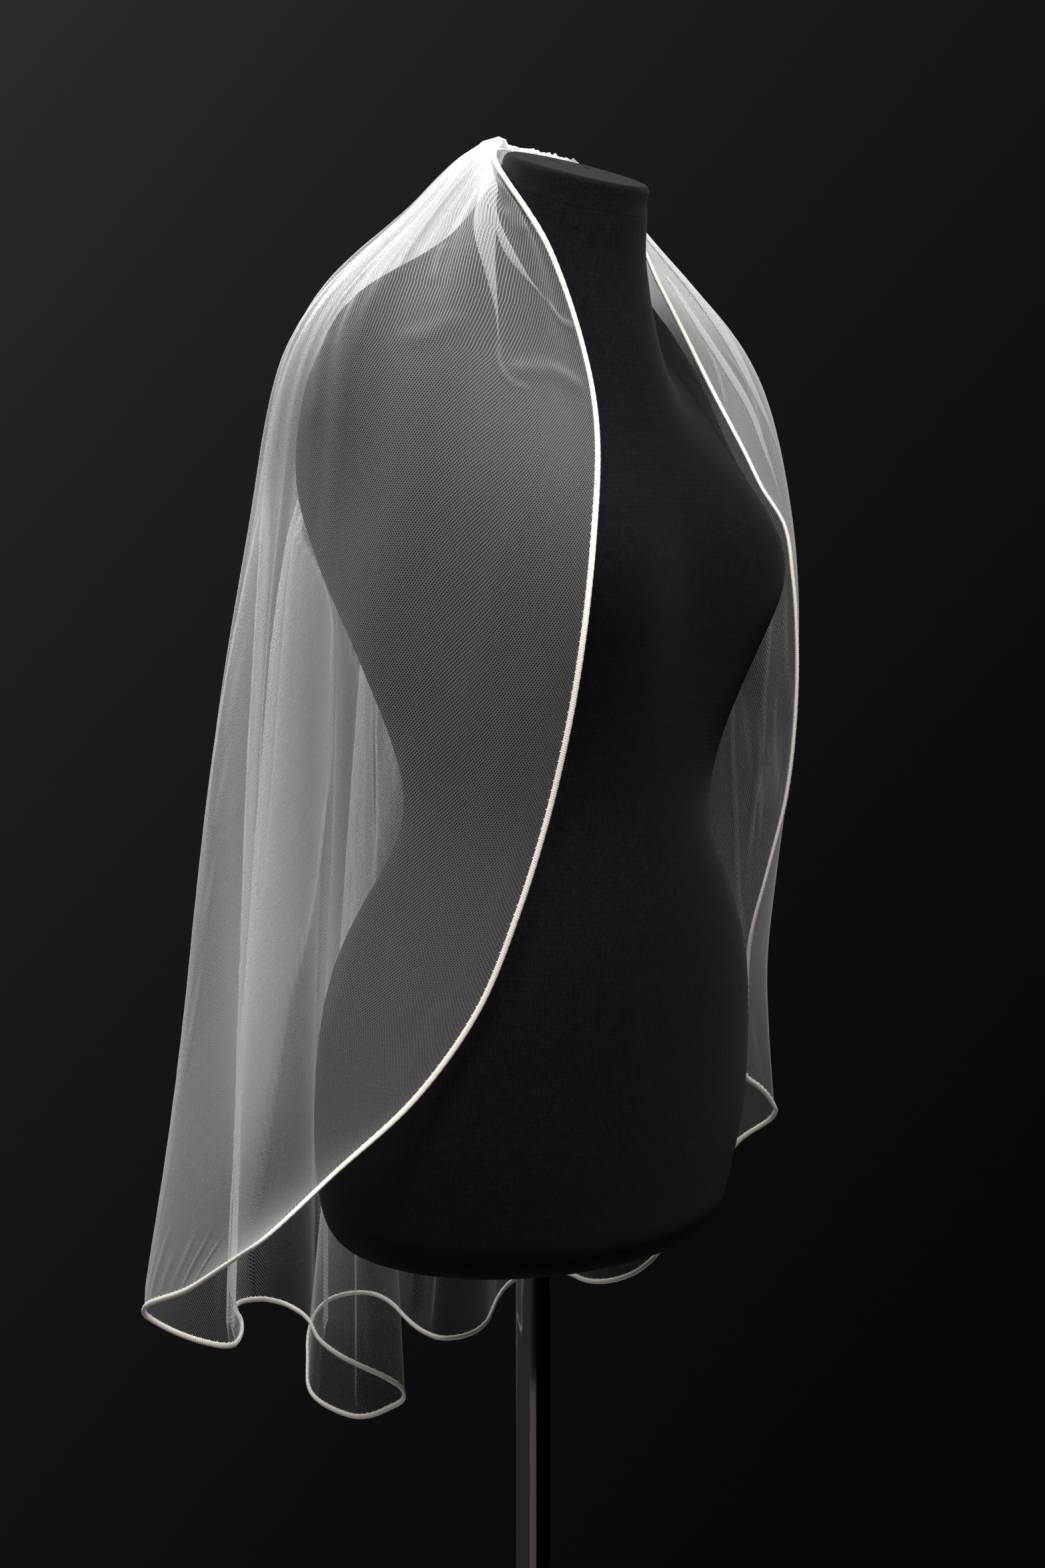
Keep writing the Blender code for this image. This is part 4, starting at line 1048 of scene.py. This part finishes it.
torso = smoothedCopy("form_torso", "jersey_torso", torsoJersey)
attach(torso, "root")
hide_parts("form_torso")
roundedMesh = bpy.data.meshes.new_from_object(torso.evaluated_get(bpy.context.evaluated_depsgraph_get()))
torsoTree = treeOf(roundedMesh)
bpy.data.meshes.remove(roundedMesh)


def lathed(name, profile, sides, material):
    rings = [[(r * math.cos(2 * math.pi * j / sides), r * math.sin(2 * math.pi * j / sides), z)
              for j in range(sides)] for r, z in profile]
    return meshPiece(name, withEnds(rings), ringFaces(sides, len(rings)), material)


capLook = {
    # heights under the cap's top where its jersey lies down the neck
    "skirt": (0.0080, 0.0125, 0.0160, 0.0196, 0.0198, 0.0200),
    "neckStarts": 0.0125, "skirtGap": 0.00006, "sink": 0.0005, "inset": 0.0003,
    "rounding": 0.0046, "sides": 160, "topRings": 44, "ripple": (0.00012, 0.26),
    # tears in the jersey: sideways, back, half length, half width, turn in degrees, depth; all lengths in mm
    "tears": ((6.0, 31.0, 13.0, 2.0, 64.0, 2.2), (24.0, 10.0, 6.0, 1.8, 33.0, 2.0)),
}


def neckRadius(angle, down):
    # How far the torso's neck reaches from its axis at a height under the cap's top
    low = max(down, capLook["neckStarts"])
    outer, inner = onCap(angle, 0.09, -low), onCap(angle, 0.0, -low)
    spot = torsoTree.ray_cast(outer, (inner - outer).normalized())[0]
    return (spot - inner).length + capLook["skirtGap"]


def capRise(x, y):
    # The worn top's height at a place in mm: faint ripples and the tears
    height, scale = capLook["ripple"]
    up = height * noise.noise(Vector((x, y, 0.0)) * scale)
    for tearX, tearY, long, wide, lean, depth in capLook["tears"]:
        dx, dy, lean = x - tearX, y - tearY, math.radians(lean)
        along, off = dx * math.cos(lean) + dy * math.sin(lean), dy * math.cos(lean) - dx * math.sin(lean)
        up -= depth / 1000 * math.exp(-((along / long) ** 4 + (off / wide) ** 4))
    return up


def makeCap():
    # Rings up the neck, over the rounded rim and in across the top
    bend, sides, tops = capLook["rounding"], capLook["sides"], capLook["topRings"]
    angles = [360 * j / sides for j in range(sides)]
    reach = [[neckRadius(angle, down) for angle in angles] for down in capLook["skirt"]]
    top = [radius - capLook["inset"] for radius in reach[0]]
    reach[-1] = [radius - capLook["sink"] for radius in reach[-1]]    # into the neck, so no edge shows
    rings = [[onCap(angle, radius, -down) for angle, radius in zip(angles, radii)]
             for down, radii in reversed(list(zip(capLook["skirt"], reach)))]
    for turn in range(0, 91, 10):
        out, up = bend * (math.cos(math.radians(turn)) - 1), bend * (math.sin(math.radians(turn)) - 1)
        rings.append([onCap(angle, radius + out, up) for angle, radius in zip(angles, top)])
    for k in range(1, tops):
        rings.append([])
        for angle, radius in zip(angles, top):
            radius, turn = (radius - bend) * (1 - k / tops), math.radians(angle)
            rise = capRise(1000 * radius * math.cos(turn), 1000 * radius * math.sin(turn))
            rings[-1].append(onCap(angle, radius, rise))
    made = meshPiece("jersey_neck_cap", withEnds([[tuple(p) for p in ring] for ring in rings]),
                     ringFaces(sides, len(rings)), capJersey)
    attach(made, "root")
    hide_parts("neck_cap")


makeCap()

# the pole's ends as steps in from its side and its end, the base's edge as steps in from its side and up
standFacts = {"poleRadius": 0.0125, "underside": 0.684, "baseRadius": 0.180, "baseThickness": 0.010,
              "poleEnd": ((0.0008, 0.0003), (0.0002, 0.0006), (0.0, 0.0011)),
              "baseEdge": ((0.002, 0.0), (0.0006, 0.0006), (0.0, 0.002), (0.0, 0.006), (0.0005, 0.0078),
                           (0.0018, 0.0090), (0.005, 0.0098), (0.010, 0.010))}
pole = lathed("chrome_pole",
              [(standFacts["poleRadius"] - inward, standFacts["baseThickness"] + up)
               for inward, up in standFacts["poleEnd"]]
              + [(standFacts["poleRadius"] - inward, standFacts["underside"] - down)
                 for inward, down in reversed(standFacts["poleEnd"])], 96, chrome)
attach(pole, "root")
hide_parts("pole")
base = lathed("chrome_base_disc",
              [(standFacts["baseRadius"] - inward, up) for inward, up in standFacts["baseEdge"]]
              + [(0.05, standFacts["baseThickness"]), (0.02, standFacts["baseThickness"])], 144, chrome)
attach(base, "root")
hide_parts("base_disc")
print("form, cap, pole and base made")


def makeComb():
    cells = 2 * combFacts["teeth"] - 1
    first = combFacts["middleAngle"] + combFacts["halfAngle"]
    step = -2 * combFacts["halfAngle"] / cells
    top, bottom = combFacts["top"], combFacts["top"] - combFacts["barHeight"]
    points, faces = [], []

    def place(angle, up):
        low = max(bottom - up, 0.0)
        inner = combFacts["radius"] - combFacts["thickness"] / 2 + combFacts["toothLean"] * low
        thin = combFacts["thickness"] * (1 - 0.3 * low / combFacts["toothLength"])
        points.append(tuple(onCap(angle, inner, up)))
        points.append(tuple(onCap(angle, inner + thin, up)))
        return len(points) - 2

    tops = [place(first + step * i, top) for i in range(cells + 1)]
    lows = [place(first + step * i, bottom) for i in range(cells + 1)]
    faces.append((tops[0], tops[0] + 1, lows[0] + 1, lows[0]))
    faces.append((tops[-1], lows[-1], lows[-1] + 1, tops[-1] + 1))
    for i in range(cells):
        a, b, c, d = tops[i], tops[i + 1], lows[i + 1], lows[i]
        faces += [(a, b, b + 1, a + 1), (a, d, c, b), (a + 1, b + 1, c + 1, d + 1)]
        if i % 2:
            faces.append((d, d + 1, c + 1, c))
            continue
        middle = first + step * (i + 0.5)
        e = place(middle - step * 0.22, bottom - combFacts["toothLength"])
        f = place(middle + step * 0.22, bottom - combFacts["toothLength"])
        faces += [(d, e, f, c), (d + 1, c + 1, f + 1, e + 1), (d, d + 1, e + 1, e),
                  (c, f, f + 1, c + 1), (e, e + 1, f + 1, f)]
    made = meshPiece("clear_comb", points, faces, plastic)
    edges = made.modifiers.new("edges", "BEVEL")
    edges.width = 0.0004
    edges.segments = 2
    edges.limit_method = "ANGLE"
    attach(made, "root")
    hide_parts("comb")


makeComb()

# lengths in mm; the cord is whipped to the net's edge, and one loop between each pair of teeth holds the comb
stitchLook = {"thread": 0.32, "seam": (1.3, 1.0), "seamStep": 6.6, "seamLean": 28.0, "comb": (7.2, 3.0),
              "seed": 7}


def stitchTree():
    # Small loops of thread stood on points, square to each point's own way ahead
    tree = bpy.data.node_groups.new("thread_loops", "GeometryNodeTree")
    tree.interface.new_socket("Geometry", in_out="INPUT", socket_type="NodeSocketGeometry")
    for name in ("Stitch Length", "Stitch Width", "Thread Thickness"):
        tree.interface.new_socket(name, in_out="INPUT", socket_type="NodeSocketFloat")
    tree.interface.new_socket("Geometry", in_out="OUTPUT", socket_type="NodeSocketGeometry")
    given = addNode(tree, "NodeGroupInput").outputs
    ring = addNode(tree, "GeometryNodeCurvePrimitiveCircle", {"mode": "RADIUS"},
                   {"Resolution": 10, "Radius": 0.5})
    shape = addNode(tree, "ShaderNodeCombineXYZ", None,
                    {"X": given["Stitch Width"], "Y": given["Stitch Length"], "Z": 1.0})
    oval = addNode(tree, "GeometryNodeTransform", None, {"Geometry": ring, "Scale": shape})
    half = addNode(tree, "ShaderNodeMath", {"operation": "MULTIPLY"}, {0: given["Thread Thickness"], 1: 0.5})
    profile = addNode(tree, "GeometryNodeCurvePrimitiveCircle", {"mode": "RADIUS"},
                      {"Resolution": 5, "Radius": half})
    loop = addNode(tree, "GeometryNodeCurveToMesh", None, {"Curve": oval, "Profile Curve": profile})
    ways = [addNode(tree, "GeometryNodeInputNamedAttribute", {"data_type": "FLOAT_VECTOR"}, {"Name": name})
            for name in ("ahead", "outward")]
    turn = addNode(tree, "FunctionNodeAxesToRotation", {"primary_axis": "Z", "secondary_axis": "X"},
                   {"Primary Axis": ways[0], "Secondary Axis": ways[1]})
    size = addNode(tree, "FunctionNodeRandomValue", {"data_type": "FLOAT"})
    for socket in size.inputs:
        if socket.enabled and socket.name in ("Min", "Max", "Seed"):
            socket.default_value = {"Min": 0.92, "Max": 1.10, "Seed": stitchLook["seed"]}[socket.name]
    stood = addNode(tree, "GeometryNodeInstanceOnPoints", None,
                    {"Points": given["Geometry"], "Instance": loop, "Rotation": turn, "Scale": size})
    real = addNode(tree, "GeometryNodeRealizeInstances", None, {"Geometry": stood})
    painted = addNode(tree, "GeometryNodeSetMaterial", None, {"Material": thread, "Geometry": real})
    addNode(tree, "NodeGroupOutput", None, {"Geometry": painted})
    return tree


def makeStitches(name, spots, ahead, outward, size):
    mesh = bpy.data.meshes.new(name + "_spots")
    mesh.from_pydata(np.asarray(spots).tolist(), [], [])
    for key, values in (("ahead", ahead), ("outward", outward)):
        layer = mesh.attributes.new(key, "FLOAT_VECTOR", "POINT")
        layer.data.foreach_set("vector", np.asarray(values, float).ravel())
    holder = newObject(name + "_spots", mesh)
    grown = holder.modifiers.new("loops", "NODES")
    grown.node_group = loopTree
    given = {"Stitch Length": size[0], "Stitch Width": size[1], "Thread Thickness": stitchLook["thread"]}
    for item in loopTree.interface.items_tree:
        if item.in_out == "INPUT" and item.name in given:
            grown[item.identifier] = given[item.name] / 1000
    shown = bpy.data.meshes.new_from_object(holder.evaluated_get(bpy.context.evaluated_depsgraph_get()))
    holder.modifiers.remove(grown)
    bpy.data.objects.remove(holder)
    shown.name = name
    shown.polygons.foreach_set("use_smooth", [True] * len(shown.polygons))
    made = newObject(name, shown)
    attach(made, "root")


loopTree = stitchTree()
cordCentres, cordSides, cordAhead = cordLine
every = int(round(stitchLook["seamStep"] / (1000 * netPanel["cordStep"])))
picked = slice(2, len(cordCentres) - 2, every)
lean = math.radians(stitchLook["seamLean"])
seamSpots = cordCentres[picked] - cordSides[picked] * netPanel["cordWidth"] * netPanel["cordFullness"] * 0.50
makeStitches("cord_seam_stitches", seamSpots,
             cordAhead[picked] * math.cos(lean) + cordSides[picked] * math.sin(lean),
             cordSides[picked] * math.cos(lean) - cordAhead[picked] * math.sin(lean),
             (stitchLook["seam"][1], stitchLook["seam"][0]))
cells = 2 * combFacts["teeth"] - 1
combAngles = [combFacts["middleAngle"] + combFacts["halfAngle"]
              - 2 * combFacts["halfAngle"] * (i + 0.5) / cells for i in range(1, cells, 2)]
combMiddle = combFacts["top"] - combFacts["barHeight"] / 2
combOut = [(onCap(angle, 1.0, 0.0) - capFacts["centre"]).normalized() for angle in combAngles]
combSpots = [onCap(angle, combFacts["radius"], combMiddle) for angle in combAngles]
makeStitches("comb_stitches", combSpots, [capUp.cross(out) for out in combOut], combOut, stitchLook["comb"])
print("stitches made:", len(seamSpots), "on the cord and", len(combAngles), "on the comb")


floorFacts = {"radius": 1.20, "drop": 0.0005, "sides": 128, "colour": "#686663"}
floorMaterial, floorTree = newMaterial("plain_grey_floor")
floorShader = addNode(floorTree, "ShaderNodeBsdfPrincipled", None,
                      {"Base Color": linear(floorFacts["colour"]), "Roughness": 0.9})
addNode(floorTree, "ShaderNodeOutputMaterial", None, {"Surface": floorShader})
floorRim = [(floorFacts["radius"] * math.cos(2 * math.pi * k / floorFacts["sides"]),
             floorFacts["radius"] * math.sin(2 * math.pi * k / floorFacts["sides"]), -floorFacts["drop"])
            for k in range(floorFacts["sides"])]
floor = meshPiece("floor", floorRim, [tuple(range(floorFacts["sides"]))], floorMaterial, smooth=False)

# name: place, where it looks, size across and up, watts
lampRows = {
    "key": ((-0.9, -1.2, 3.0), (0.0, 0.0, 1.30), (0.8, 0.8), 84),
    "keyLeft": ((-1.8, -0.9, 2.6), (0.0, 0.0, 1.20), (0.8, 0.8), 12),
    "neckFront": ((0.9, -1.4, 2.0), (0.03, -0.08, 1.39), (0.4, 0.4), 0.12),
    "overhead": ((-0.3, 0.3, 2.7), (0.0, 0.0, 1.3), (1.0, 1.0), 12),
    "upperBack": ((-0.2, 0.9, 2.3), (0.0, 0.05, 1.38), (0.6, 0.6), 14.5),
    "farBack": ((1.8, 1.2, 2.1), (0.0, 0.0, 1.2), (1.0, 1.0), 2),
    "nearBack": ((-1.6, 1.8, 1.8), (0.0, 0.0, 1.0), (1.0, 1.0), 9),
    "lowGlow": ((-0.95, -0.86, 0.24), (0.0, 0.0, 0.50), (1.0, 0.7), 0.19),
}
for lampName, (place, aim, size, watts) in lampRows.items():
    lamp = bpy.data.lights.new(lampName, "AREA")
    lamp.shape = "RECTANGLE"
    lamp.size, lamp.size_y = size
    lamp.energy = watts
    if lampName == "lowGlow":
        lamp.color = (1.0, 0.82, 0.72)
    if lampName == "neckFront":
        lamp.spread = math.radians(30)
    lampObject = newObject(lampName, lamp)
    lampObject.location = place
    lampObject.rotation_euler = (Vector(aim) - Vector(place)).to_track_quat("-Z", "Y").to_euler()
    lampObject.visible_camera = False
bpy.context.scene.view_settings.view_transform = "Standard"

# A dark studio backdrop that is a little lighter towards the key lamp's side and the ceiling
backdropLook = {"middle": -4.82, "towardsKey": 3.4, "upwards": 2.9, "lightest": 0.028,
                "keySide": (-0.669, 0.743, 0.0)}
world = bpy.data.worlds.new("dark_studio")
bpy.context.scene.world = world
world.use_nodes = True
tree = world.node_tree
tree.nodes.clear()
sight = addNode(tree, "ShaderNodeTexCoord").outputs["Generated"]
sideways = addNode(tree, "ShaderNodeVectorMath", {"operation": "DOT_PRODUCT"},
                   {0: sight, 1: backdropLook["keySide"]}).outputs["Value"]
height = addNode(tree, "ShaderNodeSeparateXYZ", None, {0: sight}).outputs["Z"]
lifted = addNode(tree, "ShaderNodeMath", {"operation": "MULTIPLY_ADD"},
                 {0: height, 1: backdropLook["upwards"], 2: backdropLook["middle"]})
tone = addNode(tree, "ShaderNodeMath", {"operation": "MULTIPLY_ADD"},
               {0: sideways, 1: backdropLook["towardsKey"], 2: lifted})
tone = addNode(tree, "ShaderNodeMath", {"operation": "EXPONENT"}, {0: tone})
tone = addNode(tree, "ShaderNodeMath", {"operation": "MINIMUM"}, {0: tone, 1: backdropLook["lightest"]})
backdrop = addNode(tree, "ShaderNodeBackground", None, {"Strength": 1.0, "Color": tone})
addNode(tree, "ShaderNodeOutputWorld", None, {"Surface": backdrop})

cameraFacts = {"azimuth": -48.0, "distance": 2.09, "height": 1.185, "pitch": -4.4, "pan": 16 / 4400,
               "sensor": 36.0, "lens": 36 * 4400 / 2352}
azimuth, pitch = math.radians(cameraFacts["azimuth"]), math.radians(cameraFacts["pitch"])
back = Vector((math.sin(azimuth), -math.cos(azimuth), 0.0))
level = Vector((math.cos(azimuth), math.sin(azimuth), 0.0))
ahead = -back * math.cos(cameraFacts["pan"]) - level * math.sin(cameraFacts["pan"])
sideways = level * math.cos(cameraFacts["pan"]) - back * math.sin(cameraFacts["pan"])
sight = ahead * math.cos(pitch) + Vector((0, 0, 1)) * math.sin(pitch)
upward = sideways.cross(sight)
lens = bpy.data.cameras.new("camera")
lens.lens, lens.sensor_width = cameraFacts["lens"], cameraFacts["sensor"]
camera = newObject("camera", lens)
stood = Vector((0, 0, cameraFacts["height"])) + back * cameraFacts["distance"]
camera.matrix_world = Matrix.Translation(stood) @ Matrix((sideways, upward, -sight)).transposed().to_4x4()
bpy.context.scene.camera = camera

print("scene ready")
